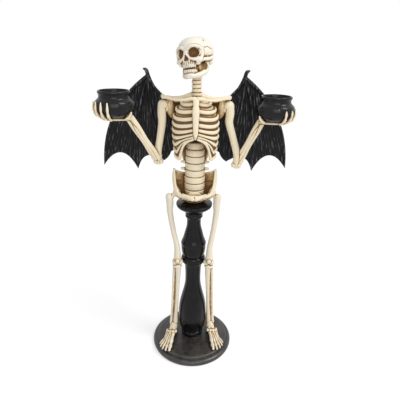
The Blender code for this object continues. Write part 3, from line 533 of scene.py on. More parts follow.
def chest_point(angle, height, inset):
    """A point of the chest wall. Angle 0 is the breastbone; height is above the disc."""
    reach = reading(((0.070, 0.88), (0.110, 0.99), (0.126, 1.0), (0.141, 0.965), (0.153, 0.85),
                     (0.1632, 0.64), (0.1700, 0.42), (0.1760, 0.26)), height)
    deep = reading(((0.070, 0.86), (0.100, 1.0), (0.126, 1.02), (0.141, 0.99), (0.153, 0.90),
                    (0.1632, 0.76), (0.1700, 0.56), (0.1760, 0.36)), height)
    return ((0.0370 * reach - inset) * sin(angle), -(0.0278 * deep - inset) * cos(angle), SEAT + height)


def rib_height(angle, rib):
    """The lower ribs climb to the breastbone, the last three ever later, which leaves the arch over
    the belly. All climb to the spine."""
    level = 0.1632 - rib * 0.0101
    if cos(angle) > 0:
        low = max(0, rib - 5)
        climb = 0.0009 * max(0, rib - 2) ** 1.95
        start = min(1, abs(sin(angle)) / (1 - 0.075 * low)) ** (2.3 + 0.55 * low)
        return level + climb * (1 - start) - (0.0025 + 0.0004 * min(rib, 5)) * abs(sin(2 * angle))
    return level + 0.010 * min(1, rib / 3) * (1 - sin(angle) ** 2)


def make_ribcage():
    depth = sizes().rib_depth
    lump = new_lump()
    columns, rows = 120, 64
    turns = [2 * pi * k / columns for k in range(columns)]

    def wall(row, inset):
        rib = -0.45 + (8.25 + 0.45) * row / rows
        out = []
        for a in turns:
            height = rib_height(a, rib) if rib > 0 else 0.1632 + (0.0075 * -rib / 0.45)
            out.append(chest_point(a, height, inset))
        return np.array(out)

    outer = [wall(k, depth) for k in range(rows + 1)]
    inner = [wall(k, depth + 0.0018) for k in range(rows, -1, -1)]
    add_rings(lump, outer + inner, looped=True)
    for side in (-1, 1):
        for rib in range(9):
            path, thick, wide = [], [], []
            for step in range(25):
                a = radians(4 + step * 7)
                room = min(1, (rib_height(a, rib - 0.5) - rib_height(a, rib + 0.5)) / 0.0101)
                path.append(chest_point(side * a, rib_height(a, rib), 0.0018))
                thick.append(0.0013 + 0.0005 * room)
                wide.append(max(1.0, 0.0029 * min(1, room * 1.2) / thick[-1]))
            # the section's long way lies up and down: its face turns with the chest
            add_ribbon(lump, path, thick, wide)
        arch = [chest_point(side * radians(a), rib_height(radians(a), 8.15), 0.0018)
                for a in (5, 13, 22, 31, 39, 47, 54)]
        add_bone(lump, arch, [0.0014, 0.0018, 0.0020, 0.0020, 0.0018, 0.0016, 0.0013])
        # first rib's gristle, just under the collarbone
        add_bone(lump, [chest_point(side * radians(a), h, 0.0018) for a, h in
                        ((4, 0.1690), (20, 0.1697), (40, 0.1700))], [0.0016, 0.0018, 0.0014], 1.2)
    # breastbone: handle, three fused pieces and a pointed tip
    add_bone(lump, [(0, -0.0212, SEAT + 0.1705), (0, -0.0238, SEAT + 0.1660), (0, -0.0262, SEAT + 0.1606)],
             [0.0022, 0.0023, 0.0021], [2.35, 2.05, 1.95])
    add_bone(lump, [(0, -0.0274, SEAT + 0.1585), (0, -0.0290, SEAT + 0.1520), (0, -0.0298, SEAT + 0.1440)],
             [0.0021, 0.0023, 0.0021], [2.3, 2.3, 2.3])
    add_bone(lump, [(0, -0.0301, SEAT + 0.1422), (0, -0.0306, SEAT + 0.1340), (0, -0.0308, SEAT + 0.1260),
                    (0, -0.0308, SEAT + 0.1180), (0, -0.0306, SEAT + 0.1120)],
             [0.0021, 0.0021, 0.0020, 0.0018, 0.0008], [2.2, 2.05, 1.95, 1.7, 1.0])
    return weather(cast("ribcage", lump, 0.0007, 1))


def add_ribbon(lump, path, thick, wide, sides=12):
    """A rib: a rod round the chest, its section tall along Z and thin outwards."""
    rows = smooth_path([(*p, t, w) for p, t, w in zip(path, thick, wide)], 2)
    turn = 2 * pi * np.arange(sides) / sides
    rings = []
    for k, row in enumerate(rows):
        out = np.array([row[0], row[1], 0.0])
        out /= max(np.linalg.norm(out), 1e-9)
        shrink = 0.5 if k in (0, len(rows) - 1) else 1.0
        rings.append(row[:3] + shrink * row[3] * (np.outer(np.cos(turn), out)
                                                  + row[4] * np.outer(np.sin(turn), (0, 0, 1))))
    add_rings(lump, rings)


def make_spine():
    lump = new_lump()
    high, profile = 0.0112, []
    for k in range(9):
        top = (9 - k) * high
        r = 0.0168 - 0.0005 * max(0, 5 - k)
        profile += [(r - 0.0030, top), (r - 0.0005, top - 0.0008), (r, top - 0.0018),
                    (r + 0.0001, top - high / 2), (r, top - high + 0.0018),
                    (r - 0.0005, top - high + 0.0008), (r - 0.0030, top - high)]
    add_turned(lump, profile, (0, 0.0078, SEAT), 64)
    # sacrum's shield at the foot of the spine
    add_ball(lump, (0, -0.0070, SEAT + 0.0120), (0.0125, 0.0050, 0.0100))
    for height in (0.0665, 0.0555):
        for side in (-1, 1):
            add_bone(lump, [(side * 0.010, 0.0078, SEAT + height),
                            (side * 0.0180, 0.0070, SEAT + height + 0.0004),
                            (side * 0.0212, 0.0066, SEAT + height + 0.0008)], [0.0032, 0.0025, 0.0022])
    # lining of the chest behind the arch, browned by the painted shade below
    add_plate(lump, [(x, 0.0135 + 14 * x * x, SEAT + h) for x, h in
                     ((-0.0265, 0.125), (-0.0255, 0.095), (-0.0225, 0.078), (-0.0185, 0.064), (0, 0.060),
                      (0.0185, 0.064), (0.0225, 0.078), (0.0255, 0.095), (0.0265, 0.125), (0, 0.130))],
                      0.0036)
    # inside the chest, where the spine leans back
    add_bone(lump, [(0, 0.0078, SEAT + 0.090), (0, 0.0170, SEAT + 0.108), (0, 0.0210, SEAT + 0.135),
                    (0, 0.0150, SEAT + 0.158), (0, 0.0020, SEAT + 0.166)], 0.0085)
    neck = []
    for k in range(8):
        top = 0.2065 - 0.0060 * k
        r = 0.0078 + 0.0004 * max(0, k - 4)
        neck += [(r - 0.0022, top), (r - 0.0004, top - 0.0010), (r, top - 0.0022), (r - 0.0002, top - 0.0040),
                 (r - 0.0010, top - 0.0054)]
    add_turned(lump, neck, (0.0006, 0.001, SEAT), 48)
    add_ball(lump, (0, 0.004, SEAT + 0.1620), (0.0120, 0.0110, 0.0075))
    spine = cast("spine", lump, 0.00060, 1)
    # painted shade: the foot of the spine in the basin, and the spine and lining inside the chest, are given
    # more of the brown
    points = coordinates(spine)
    painted_shade_inside_chest = np.clip((points[:, 1] - 0.0085) / 0.003, 0, 1) * (points[:, 2] > SEAT + 0.058)
    return weather(spine, 0.25 * np.clip((SEAT + 0.030 - points[:, 2]) / 0.015, 0, 1) 
                   + 0.45 * painted_shade_inside_chest + 0.50 * np.clip((points[:, 2] - SEAT - 0.074) / 0.014, 0, 1)
                   * (points[:, 2] < SEAT + 0.150))


def make_shoulders():
    lump = new_lump()

    def put(side, x, y, height):
        return (side * x, y, SEAT + height)

    for side in (-1, 1):
        # collarbone, sagging between the breastbone and the shoulder
        add_bone(lump, [put(side, 0.0030, -0.0215, 0.1702), put(side, 0.0090, -0.0208, 0.1697),
                        put(side, 0.0190, -0.0183, 0.1680), put(side, 0.0300, -0.0140, 0.1674),
                        put(side, 0.0400, -0.0085, 0.1690), put(side, 0.0490, -0.0038, 0.1702)],
                 [0.0031, 0.0024, 0.0021, 0.0021, 0.0024, 0.0030])
        # ridge of the shoulder blade, out to the point of the shoulder
        add_bone(lump, [put(side, 0.0495, -0.0038, 0.1696), put(side, 0.0500, 0.0050, 0.1698),
                        put(side, 0.0420, 0.0150, 0.1630), put(side, 0.0260, 0.0240, 0.1545)],
                 [0.0030, 0.0031, 0.0026, 0.0020])
        # muscle-like slope of resin between neck and shoulder
        add_bone(lump, [put(side, 0.0060, 0.0020, 0.1700), put(side, 0.0200, 0.0050, 0.1660),
                        put(side, 0.0340, 0.0080, 0.1650), put(side, 0.0440, 0.0090, 0.1665)],
                 [0.0050, 0.0038, 0.0032, 0.0028], 1.5)
        # neck of the blade beside the arm's head, flat; the painted shade below makes it tan
        add_bone(lump, [put(side, 0.0415, 0.0040, 0.1625), put(side, 0.0405, 0.0045, 0.1560),
                        put(side, 0.0385, 0.0065, 0.1470), put(side, 0.0365, 0.0085, 0.1400)],
                 [0.0040, 0.0046, 0.0044, 0.0030], 1.45)
        # blade: a triangle from the socket to its lower corner
        a = radians(34)
        outline = [(0.0470, 0.1640), (0.0484, 0.1500), (0.0462, 0.1400), (0.0410, 0.1290), (0.0350, 0.1170),
                   (0.0290, 0.1060), (0.0235, 0.1130), (0.0200, 0.1320), (0.0180, 0.1520), (0.0240, 0.1630),
                   (0.0300, 0.1640)]
        add_plate(lump, [(side * x * cos(a), 0.0355 - x * sin(a), SEAT + h) for x, h in outline], 0.0034)
        # neck of the blade and the beak beside the socket
        add_bone(lump, [put(side, 0.0380, 0.0075, 0.1500), put(side, 0.0400, 0.0030, 0.1560),
                        put(side, 0.0400, 0.0010, 0.1610)], [0.0034, 0.0034, 0.0022])
    bones = cast("shoulders", lump, 0.0008, 2)
    points = coordinates(bones)
    # painted shade: the further back a point lies, behind the arms and beside the neck, the browner it is
    stain = 0.55 * np.clip((points[:, 1] + 0.0040) / 0.004, 0, 1) * np.clip(
        (SEAT + 0.1685 - points[:, 2]) / 0.004, 0.65, 1)
    return weather(bones, stain)


def make_pelvis():
    """A flared basin with a thick rim, hip sockets, sit bones and the joined pubic bones."""
    rim = ((0, 0.0187), (42, 0.0187), (54, 0.0222), (63, 0.0290), (71, 0.0400), (80, 0.0575), (88, 0.0572),
           (95, 0.0563), (125, 0.0500), (150, 0.0457), (180, 0.0457))
    turns = np.concatenate([np.arange(0, 60, 5), np.arange(60, 95, 2.0), np.arange(95, 181, 5)])
    turns = np.concatenate([turns, 360 - turns[-2:0:-1]])

    def ring(v, inset):
        out = []
        for turn in turns:
            front = turn if turn <= 180 else 360 - turn
            high = reading(rim, front)
            low = 0.0055 + 0.0035 * max(0.0, min(1.0, (66 - front) / 12))
            flare = reading(((0, 0.945), (0.18, 0.985), (0.35, 1), (0.52, 0.90), (0.7, 0.74), (1, 0.59)), v)
            blend = max(0.0, min(1.0, (front - 80) / 20))
            deep_full = 0.025 + (0.0175 - 0.025) * blend
            wide = 0.0370 * flare - inset
            deep = deep_full * (0.78 + 0.22 * (1 - v)) - inset
            height = high + (low - high) * v
            out.append((wide * sin(radians(turn)), -deep * cos(radians(turn)), SEAT + height))
        return np.array(out)

    lump = new_lump()
    rows = 18
    add_rings(lump, [ring(k / rows, 0) for k in range(rows + 1)]
              + [ring(1 - k / rows, 0.0030) for k in range(rows + 1)], looped=True)
    edge = ring(0, 0.0015)
    count = len(turns)
    # rolled rim, all round
    rolled = [edge[k % count] for k in range(0, count + 1)]
    add_bone(lump, rolled, 0.0016, per_span=2, face=(0, 0, 1))
    for side in (-1, 1):
        def put(x, y, height):
            return (side * x, y, SEAT + height)
        add_ball(lump, put(0.0296, -0.0046, 0.0190), (0.0054, 0.0070, 0.0078))
        add_bone(lump, [put(0.0262, -0.0050, 0.0150), put(0.0215, -0.0035, 0.0085),
                        put(0.0170, 0.0010, 0.0036)],
                 [0.0050, 0.0044, 0.0034])
        # pubic bone: a thick bright bar that ends at the joint in the middle
        add_bone(lump, [put(0.0185, -0.0160, 0.0182), put(0.0105, -0.0212, 0.0168),
                        put(0.0027, -0.0238, 0.0148)],
                 [0.0024, 0.0030, 0.0036], 1.15)
    basin = cast("pelvis", lump, 0.0007, 2)
    points, facing = coordinates(basin), normals(basin)
    # painted shade: the faces turned into the basin, below its rim, are painted browner
    inward = -(facing[:, 0] * points[:, 0] * 0.5 + facing[:, 1] * points[:, 1]) / np.maximum(
        np.hypot(points[:, 0] * 0.5, points[:, 1]), 0.004)
    under_rim = np.clip((SEAT + 0.0560 - points[:, 2]) / 0.006, 0, 1)
    return weather(basin, 0.10 * np.clip(inward * 2.0, 0, 1) * under_rim)


# Arms

def shoulder(side):
    return Vector((side * 0.0508, 0.004, SEAT + 0.1572))


def make_arm(side):
    top, bend = shoulder(side), Vector(ELBOW[side])
    centre = Vector(POT[side])
    palm = centre + Vector((side * 0.002, 0.002, -GAP - 0.00275))
    wrist = centre + Vector((side * -0.0185, 0.0110, -GAP - 0.0041))
    across = (wrist - bend).cross(Vector((0, 1, 0))).normalized()
    lump = new_lump()
    mid = (top + bend) / 2
    # upper arm: round head, plain shaft, two-knobbed lower end
    add_ball(lump, top + Vector((side * -0.0008, 0, 0)), (0.0080, 0.0074, 0.0078))
    add_ball(lump, top + Vector((side * 0.0012, -0.0010, -0.0040)), (0.0058, 0.0054, 0.0070))
    add_ball(lump, top + Vector((side * -0.0046, 0.0012, -0.0030)), (0.0062, 0.0056, 0.0080))
    add_bone(lump, [top, top + Vector((side * 0.0013, 0, -0.012)), top + Vector((side * 0.0010, 0, -0.026)),
                    mid + Vector((side * -0.0004, 0, 0)), bend + Vector((0, 0, 0.018)),
                    bend + Vector((0, 0, 0.006)), bend],
             [0.0073, 0.0067, 0.0061, 0.0057, 0.0056, 0.0058, 0.0058])
    for offset in (-1, 1):
        add_ball(lump, bend + Vector((offset * 0.0040, -0.0008, 0.0004)), (0.0042, 0.0054, 0.0048))
    for offset, size in ((-1, 1.12), (1, 0.90)):
        f = 0.0032 * size
        start = bend + across * offset * 0.0026
        end = wrist + across * offset * 0.0023
        bow = across * offset * 0.0026
        add_bone(lump, [start, start.lerp(end, 0.2) + bow * 0.35, (bend + wrist) / 2 + bow,
                        start.lerp(end, 0.8) + bow * 0.45, end],
                 [f * 1.40, f * 1.10, f * 0.98, f * 1.0, f * 1.25])
    # resin left between the two forearm bones
    add_bone(lump, [bend.lerp(wrist, 0.04), bend.lerp(wrist, 0.72), bend.lerp(wrist, 0.96)],
             [0.0042, 0.0036, 0.0022], [1.15, 1.15, 1.6])
    for k in range(4):
        add_ball(lump, wrist + across * (k - 1.5) * 0.0027
                 + Vector((side * 0.0012 * (k % 2), -0.0006, 0.0004)),
                 (0.0026, 0.0028, 0.0024), sides=14, rows=8)
    add_bone(lump, [wrist, palm + Vector((side * -0.004, 0.001, -0.0008)),
                    palm + Vector((side * 0.008, -0.005, 0))], [0.0030, 0.0030, 0.0024], 2.2, face=(0, 0, 1))
    bulge, f = 0.0286, 0.0017
    for degrees in FINGER_ANGLES[side]:
        a = radians(degrees)
        out = Vector((side * sin(a), -cos(a), 0))
        path = [palm + out * 0.004, palm.lerp(centre + out * 0.0170 + Vector((0, 0, -f - GAP)), 0.55),
                centre + out * 0.0170 + Vector((0, 0, -f - GAP - 0.0002)),
                centre + out * 0.0225 + Vector((0, 0, 0.0006)),
                centre + out * (bulge * 0.93) + Vector((0, 0, 0.0040)),
                centre + out * (bulge + f * 0.30) + Vector((0, 0, 0.0092)),
                centre + out * (bulge + f * 0.55) + Vector((0, 0, 0.0133)),
                centre + out * (bulge * 0.985 + f * 0.55) + Vector((0, 0, 0.0158 + FINGER_RISE[side]))]
        add_bone(lump, path, [f * 1.3, f * 1.05, f * 1.35, f * 0.98, f * 1.3, f * 0.92, f * 1.1, f * 0.6],
                 sides=12)
    thumb = Vector((side * -0.86, -0.5, 0))
    add_bone(lump, [wrist, centre + thumb * (bulge * 0.70) + Vector((0, 0, -0.0016)),
                    centre + thumb * (bulge * 0.90) + Vector((0, 0, 0.0022)),
                    centre + thumb * (bulge * 1.03) + Vector((0, 0, 0.0080))],
             [f * 1.5, f * 1.2, f * 1.35, f * 0.75])
    name = "arm_bones_" + ("right" if side < 0 else "left")
    arm = keep_clear_of_pot(cast(name, lump, 0.00055, 2), side)
    # the hand keeps more of the wash than the long bones
    near = np.linalg.norm(coordinates(arm) - np.array(centre), axis=1)
    return weather(arm, 0.22 * np.clip((0.040 - near) / 0.010, 0, 1))


def keep_clear_of_pot(arm, side):
    """Presses any bone that touches the cauldron back to its skin, as the hand fits the pot."""
    h, (x, y, z) = 0.036, POT[side]
    points = coordinates(arm)
    dx, dy, dz = points[:, 0] - x, points[:, 1] - y, points[:, 2] - z
    r = np.hypot(dx, dy)
    skin = reading(((0, 0.0160), (h * 0.05, 0.0200), (h * 0.13, 0.0238), (h * 0.235, 0.0266),
                    (h * 0.33, 0.0281), (h * 0.43, 0.0286), (h * 0.51, 0.0282), (h * 0.60, 0.0269),
                    (h * 0.72, 0.0226), (h, 0.0231)), dz) + GAP
    inside = (dz > -GAP) & (dz < h) & (r < skin)
    low = inside & (dz < 0.0012) & (r < 0.0165)
    points[low, 2] = z - GAP
    side_on = inside & ~low
    grow = skin[side_on] / np.maximum(r[side_on], 1e-6)
    points[side_on, 0] = x + dx[side_on] * grow
    points[side_on, 1] = y + dy[side_on] * grow
    set_coordinates(arm, points)
    return arm


# Legs

def make_leg(side):
    head = Vector((side * HIP_X, -0.0062, SEAT + 0.0185))
    thigh = head + Vector((side * TROCHANTER_OUT[side], -0.0020, -0.0085))
    knee = Vector((side * KNEE[0], KNEE[1], KNEE[2]))
    foot = Vector((*ANKLE[side], PLATEAU))
    heel = foot + Vector((0, 0, 0.0310))
    r = 0.0051
    lump = new_lump()
    add_ball(lump, head, 0.0054)
    add_bone(lump, [head, head.lerp(thigh, 0.6), thigh], [0.0036, 0.0040, 0.0048])
    # greater trochanter, then the shaft bowing in to the knee
    add_ball(lump, thigh + Vector((side * 0.0016, 0, 0.0012)), (0.0058, 0.0062, 0.0070))
    add_bone(lump, [thigh + Vector((side * 0.0008, 0, 0.0)), thigh + Vector((side * 0.0004, -0.0005, -0.012)),
                    thigh + Vector((side * 0.0002, -0.0008, -0.026)),
                    thigh.lerp(knee, 0.50) + Vector((side * 0.0010, -0.0010, 0)),
                    knee + Vector((side * 0.0012, 0, 0.030)), knee + Vector((side * 0.0006, 0, 0.014)),
                    knee + Vector((0, 0, 0.003))],
             [r * 1.20, r * 1.12, r * 0.98, r * 0.88, r * 0.95, r * 1.15, r * 1.30])
    for offset in (-1, 1):
        add_ball(lump, knee + Vector((offset * 0.0043, 0.0004, -0.0005)), (0.0052, 0.0062, 0.0062))
    # kneecap
    add_ball(lump, knee + Vector((0, -0.0062, 0.0034)), (0.0038, 0.0031, 0.0043))
    plate = knee + Vector((side * 0.0008, 0, -0.0092))
    add_ball(lump, plate, (0.0084, 0.0060, 0.0038))
    t, f = 0.0041, 0.0029
    inner, outer = Vector((-side * 0.0026, 0, 0)), Vector((side * 0.0048, 0.0010, 0))
    add_bone(lump, [plate + inner * 0.5, plate.lerp(heel, 0.12) + inner * 0.9, plate.lerp(heel, 0.35) + inner,
                    plate.lerp(heel, 0.70) + inner, heel + inner * 0.8],
             [t * 1.45, t * 1.18, t * 0.92, t * 0.82, t * 1.20])
    add_bone(lump, [plate + outer * 0.8, plate.lerp(heel, 0.15) + outer, plate.lerp(heel, 0.5) + outer,
                    plate.lerp(heel, 0.85) + outer, heel + outer + Vector((0, 0, -0.004))],
             [f * 1.30, f * 1.0, f * 0.80, f * 0.90, f * 1.35])
    # resin left between the two shin bones
    middle = Vector((side * 0.0012, 0.0012, 0))
    add_bone(lump, [plate + middle, heel + middle], 0.0024, 1.5)
    add_ball(lump, heel + Vector((0, 0, -0.0035)), (0.0064, 0.0056, 0.0056))
    add_bone(lump, [heel + Vector((0, 0, -0.004)), foot + Vector((0, 0.006, 0.013)),
                    foot + Vector((-side * 0.0010, 0.0150, 0.0046))], [0.0058, 0.0054, 0.0044])
    # small bones of the instep
    for x, y, z, s in ((0.0000, -0.0040, 0.0190, 0.0040), (0.0050, -0.0035, 0.0175, 0.0036),
                       (-0.0028, -0.0085, 0.0150, 0.0032), (0.0020, -0.0095, 0.0152, 0.0031),
                       (0.0064, -0.0085, 0.0143, 0.0030), (0.0100, -0.0070, 0.0128, 0.0028)):
        add_ball(lump, foot + Vector((side * x, y, z)), (s, s * 1.15, s * 0.95), sides=14, rows=8)
    add_bone(lump, [heel + Vector((0, -0.001, -0.006)), foot + Vector((side * 0.003, -0.004, 0.0125)),
                    foot + Vector((side * 0.0062, -0.0110, 0.0095))], [0.0054, 0.0056, 0.0040], 1.25)
    for k, (length, degrees) in enumerate(zip((0.0430, 0.0440, 0.0425, 0.0395, 0.0350), (9, 18, 27, 36, 45))):
        a = radians(degrees)
        out = Vector((side * sin(a), -cos(a), 0))
        size = 0.0024 * (1.30 if k == 0 else 1.0 - 0.05 * k)
        start = foot + Vector((side * (0.0005 + 0.0030 * k), -0.0070 + 0.0010 * k, 0.0125))
        drop = -0.0033

        def on_foot(share, up):
            return foot + out * length * share + Vector((0, 0, up))
        add_bone(lump, [start, start.lerp(on_foot(0.60, 0.0074), 0.55) + Vector((0, 0, 0.0002)),
                        on_foot(0.62, 0.0070), on_foot(0.72, 0.0050), on_foot(0.82, 0.0030),
                        on_foot(0.91, 0.0016 + size * 0.5), on_foot(0.985, 0.0012 + drop + size)],
                 [size * 1.25, size * 0.92, size * 1.22, size * 0.85, size * 1.15, size * 0.84, size * 0.78],
                 sides=12)
    leg = cast("leg_bones_" + ("right" if side < 0 else "left"), lump, 0.00065, 2)
    # the sole rests on the base
    points = coordinates(leg)
    r = np.hypot(points[:, 0], points[:, 1])
    top = reading(((0, 0.0175), (0.0170, 0.0175), (0.0295, 0.0167), (0.0460, 0.0158), (0.0600, 0.0149),
                   (0.0640, 0.0142), (0.0655, 0.0128)), r) + GAP
    points[:, 2] = np.maximum(points[:, 2], top)
    set_coordinates(leg, points)
    # more brown the lower the point: the thighs lightest, the shanks darker and the feet tan
    return weather(leg, reading(((0, 0.36), (PLATEAU + 0.028, 0.30), (PLATEAU + 0.040, 0.26),
                                 (KNEE[2] - 0.010, 0.22),
                                 (KNEE[2] + 0.012, 0.06), (0.4, 0.04)), points[:, 2]))


# Wings

WING_ROOT_X, WING_BACK_Y, WING_THICK = 0.013, 0.0312, 0.0024
WING_SHOULDER, WING_HOOK, WING_WRIST = (0.0500, 0.1607), (0.0872, 0.2045), (0.0823, 0.1952)
WING_TIPS = ((0.1556, 0.0412), (0.0953, 0.0394), (0.0511, 0.0585))


def bow(start, end, sag, count):
    """Points on a shallow bow from start to end, without the end itself."""
    (x0, z0), (x1, z1) = start, end
    length = hypot(x1 - x0, z1 - z0)
    nx, nz = -(z1 - z0) / length, (x1 - x0) / length
    out = []
    for k in range(count):
        t = k / count
        lift = 4 * sag * t * (1 - t)
        out.append((x0 + (x1 - x0) * t + nx * lift, z0 + (z1 - z0) * t + nz * lift))
    return out


def make_wing(side):
    first, second, third = WING_TIPS
    hook_side = (WING_HOOK[0] - 0.009, WING_HOOK[1] - 0.0020)
    outline = (bow((WING_ROOT_X, 0.1497), WING_SHOULDER, 0.002, 6) + bow(WING_SHOULDER, hook_side, -0.004, 12)
               + bow(hook_side, WING_HOOK, 0.002, 5) + bow(WING_HOOK, WING_WRIST, -0.001, 4)
               + bow(WING_WRIST, first, 0.0217, 30) + bow(first, second, -0.026, 26)
               + bow(second, third, -0.017, 20) + bow(third, (0.0390, 0.0752), 0.002, 6)
               + bow((0.0390, 0.0752), (WING_ROOT_X, 0.1047), 0.003, 10) + [(WING_ROOT_X, 0.1047)])
    curve = bpy.data.curves.new("plate", 'CURVE')
    curve.dimensions = '2D'
    curve.fill_mode = 'BOTH'
    curve.extrude = WING_THICK / 2 - 0.0002
    spline = curve.splines.new('POLY')
    spline.points.add(len(outline) - 1)
    spline.use_cyclic_u = True
    for point, (x, z) in zip(spline.points, outline):
        point.co = (x - WING_ROOT_X, z, 0, 1)
    sheet = bpy.data.objects.new("plate", curve)
    bpy.context.scene.collection.objects.link(sheet)
    bpy.context.view_layer.update()
    flat = bpy.data.meshes.new_from_object(sheet.evaluated_get(bpy.context.evaluated_depsgraph_get()))
    flat.transform(Matrix.Translation((0, WING_THICK / 2, 0)) @ Matrix.Diagonal((side, 1, 1, 1))
                   @ Matrix.Rotation(radians(90), 4, 'X'))
    bpy.data.objects.remove(sheet)
    bm = bmesh.new()
    bm.from_mesh(flat)
    bmesh.ops.remove_doubles(bm, verts=bm.verts[:], dist=0.000002)
    lump = new_lump()
    lump["verts"].append(np.array([v.co[:] for v in bm.verts]))
    lump["faces"] += [tuple(v.index for v in f.verts) for f in bm.faces]
    lump["count"] = len(bm.verts)
    bm.free()
    bpy.data.meshes.remove(flat)
    r = 0.0019
    wrist = (WING_WRIST[0] - 0.0030, WING_WRIST[1] - 0.0030)
    fingers = [
        ([(WING_SHOULDER[0] - 0.020, WING_SHOULDER[1] - 0.010),
          (WING_SHOULDER[0] - 0.004, WING_SHOULDER[1] - 0.003),
          (0.0650, 0.1745), (0.0745, 0.1860), wrist, (WING_HOOK[0] - 0.0050, WING_HOOK[1] - 0.0035),
          (WING_HOOK[0] - 0.0012, WING_HOOK[1] - 0.0010)], 1.25, 0.62),
        ([wrist] + bow((WING_WRIST[0] - 0.002, WING_WRIST[1] - 0.003), (first[0] - 0.0030, first[1] + 0.008),
                       0.0205, 7)[1:] + [(first[0] - 0.0020, first[1] + 0.0080)], 1.2, 0.55),
        ([wrist, (0.0900, 0.1527), (0.0970, 0.1027), (0.0965, 0.0577), (second[0], second[1] + 0.0050)],
         1.1, 0.5),
        ([wrist, (0.0745, 0.1477), (0.0620, 0.1027), (third[0] + 0.0010, third[1] + 0.0050)], 1.0, 0.5)]
    for path, thick, thin in fingers:
        radii = np.linspace(r * thick, r * thin, len(path))
        add_bone(lump, [(side * (x - WING_ROOT_X), 0.0001, z) for x, z in path], list(radii), sides=12)
    name = "wing_skin_" + ("right" if side < 0 else "left")
    wing = cast(name, lump, 0.0007, 2)
    # fine ridges that fan out from the wrist and run down the skin
    points, facing = coordinates(wing), normals(wing)
    x, z = points[:, 0] * side + WING_ROOT_X, points[:, 2]
    fan = (x - WING_WRIST[0]) / (1.0 + 1.9 * np.clip(WING_WRIST[1] - z, 0, 0.2) / 0.15)
    waver = np.array([noise.noise(Vector((a * 60, 0.0, b * 14))) for a, b in zip(x, z)])
    ridge = np.sin(fan * 2 * pi / 0.0022 + waver * 5.0) + 0.6 * np.sin(fan * 2 * pi / 0.0051 + waver * 7.0)
    flatness = np.clip((np.abs(facing[:, 1]) - 0.75) / 0.2, 0, 1)
    points += facing * (sizes().ridge_depth * ridge * flatness * 0.6)[:, None]
    set_coordinates(wing, points)
    weather(wing)
    wing.data.transform(Matrix.Translation((side * WING_ROOT_X, WING_BACK_Y, 0))
                        @ Matrix.Rotation(side * radians(6.5), 4, 'Z')
                        @ Matrix.Translation((0, 0, SEAT + 0.12))
                        @ Matrix.Rotation(-side * radians(1.75), 4, 'Y')
                        @ Matrix.Translation((0, 0, -0.12)))
    return wing


# Skull

def skull_place():
    return (Matrix.Translation((-0.0015, 0.003, SEAT + 0.2065 + 0.0259))
            @ Matrix.Rotation(radians(-11), 4, 'Y')
            @ Matrix.Rotation(radians(-29.5), 4, 'Z') @ Matrix.Rotation(radians(-7.7), 4, 'X'))


# Cracks over the left temple. The places were picked on a part of the photograph enlarged
# CRACK_ZOOM times, whose corner lies at CRACK_CORNER in the photograph's own pixels. Two weren't
# picked there but given: the third of the first crack and the end of the last.
CRACK_CORNER, CRACK_ZOOM = (172, 30), 28.5
CRACK_PICKS = (((860, 200), (905, 265), (885, 310), (880, 330), (845, 385), (870, 430), (910, 470),
                (955, 495), (990, 455), (1060, 490), (1130, 540)),
               ((790, 420), (790, 480), (820, 545), (860, 530), (870, 430)),
               ((800, 480), (850, 590), (880, 650), (900, 740)),
               ((905, 265), (960, 290)))
# the shell that the cracks are laid on, just over the braincase: its middle and half sizes
CRACK_SHELL = (0, 0.0030, 0.0010), (0.0235, 0.0280, 0.0210)


def crack_point(pick):
    """The near side of the crack shell where the camera sees a pick, in mm from the skull's middle."""
    x, y = (corner + place / CRACK_ZOOM for corner, place in zip(CRACK_CORNER, pick))
    right, up, ahead = camera_axes()
    sight = ahead + SENSOR / LENS * (right * (x / PHOTO_PIXELS - 0.5) + up * (0.5 - y / PHOTO_PIXELS))
    to_skull = skull_place().inverted()
    middle, half = (np.array(v) for v in CRACK_SHELL)
    eye, run = np.array(to_skull @ CAMERA_PLACE), np.array(to_skull.to_3x3() @ sight)
    a, b = (eye - middle) / half, run / half
    along = (-(a @ b) - ((a @ b) ** 2 - (b @ b) * (a @ a - 1)) ** 0.5) / (b @ b)
    return tuple((eye + along * run) * 1000)


def near_line(points, line):
    """How near each point lies to a bent line."""
    best = np.full(len(points), 1.0)
    for start, end in zip(line, line[1:]):
        start, run = np.array(start) / 1000, (np.array(end) - np.array(start)) / 1000
        along = np.clip((points - start) @ run / (run @ run), 0, 1)
        best = np.minimum(best, np.linalg.norm(points - start - along[:, None] * run, axis=1))
    return best


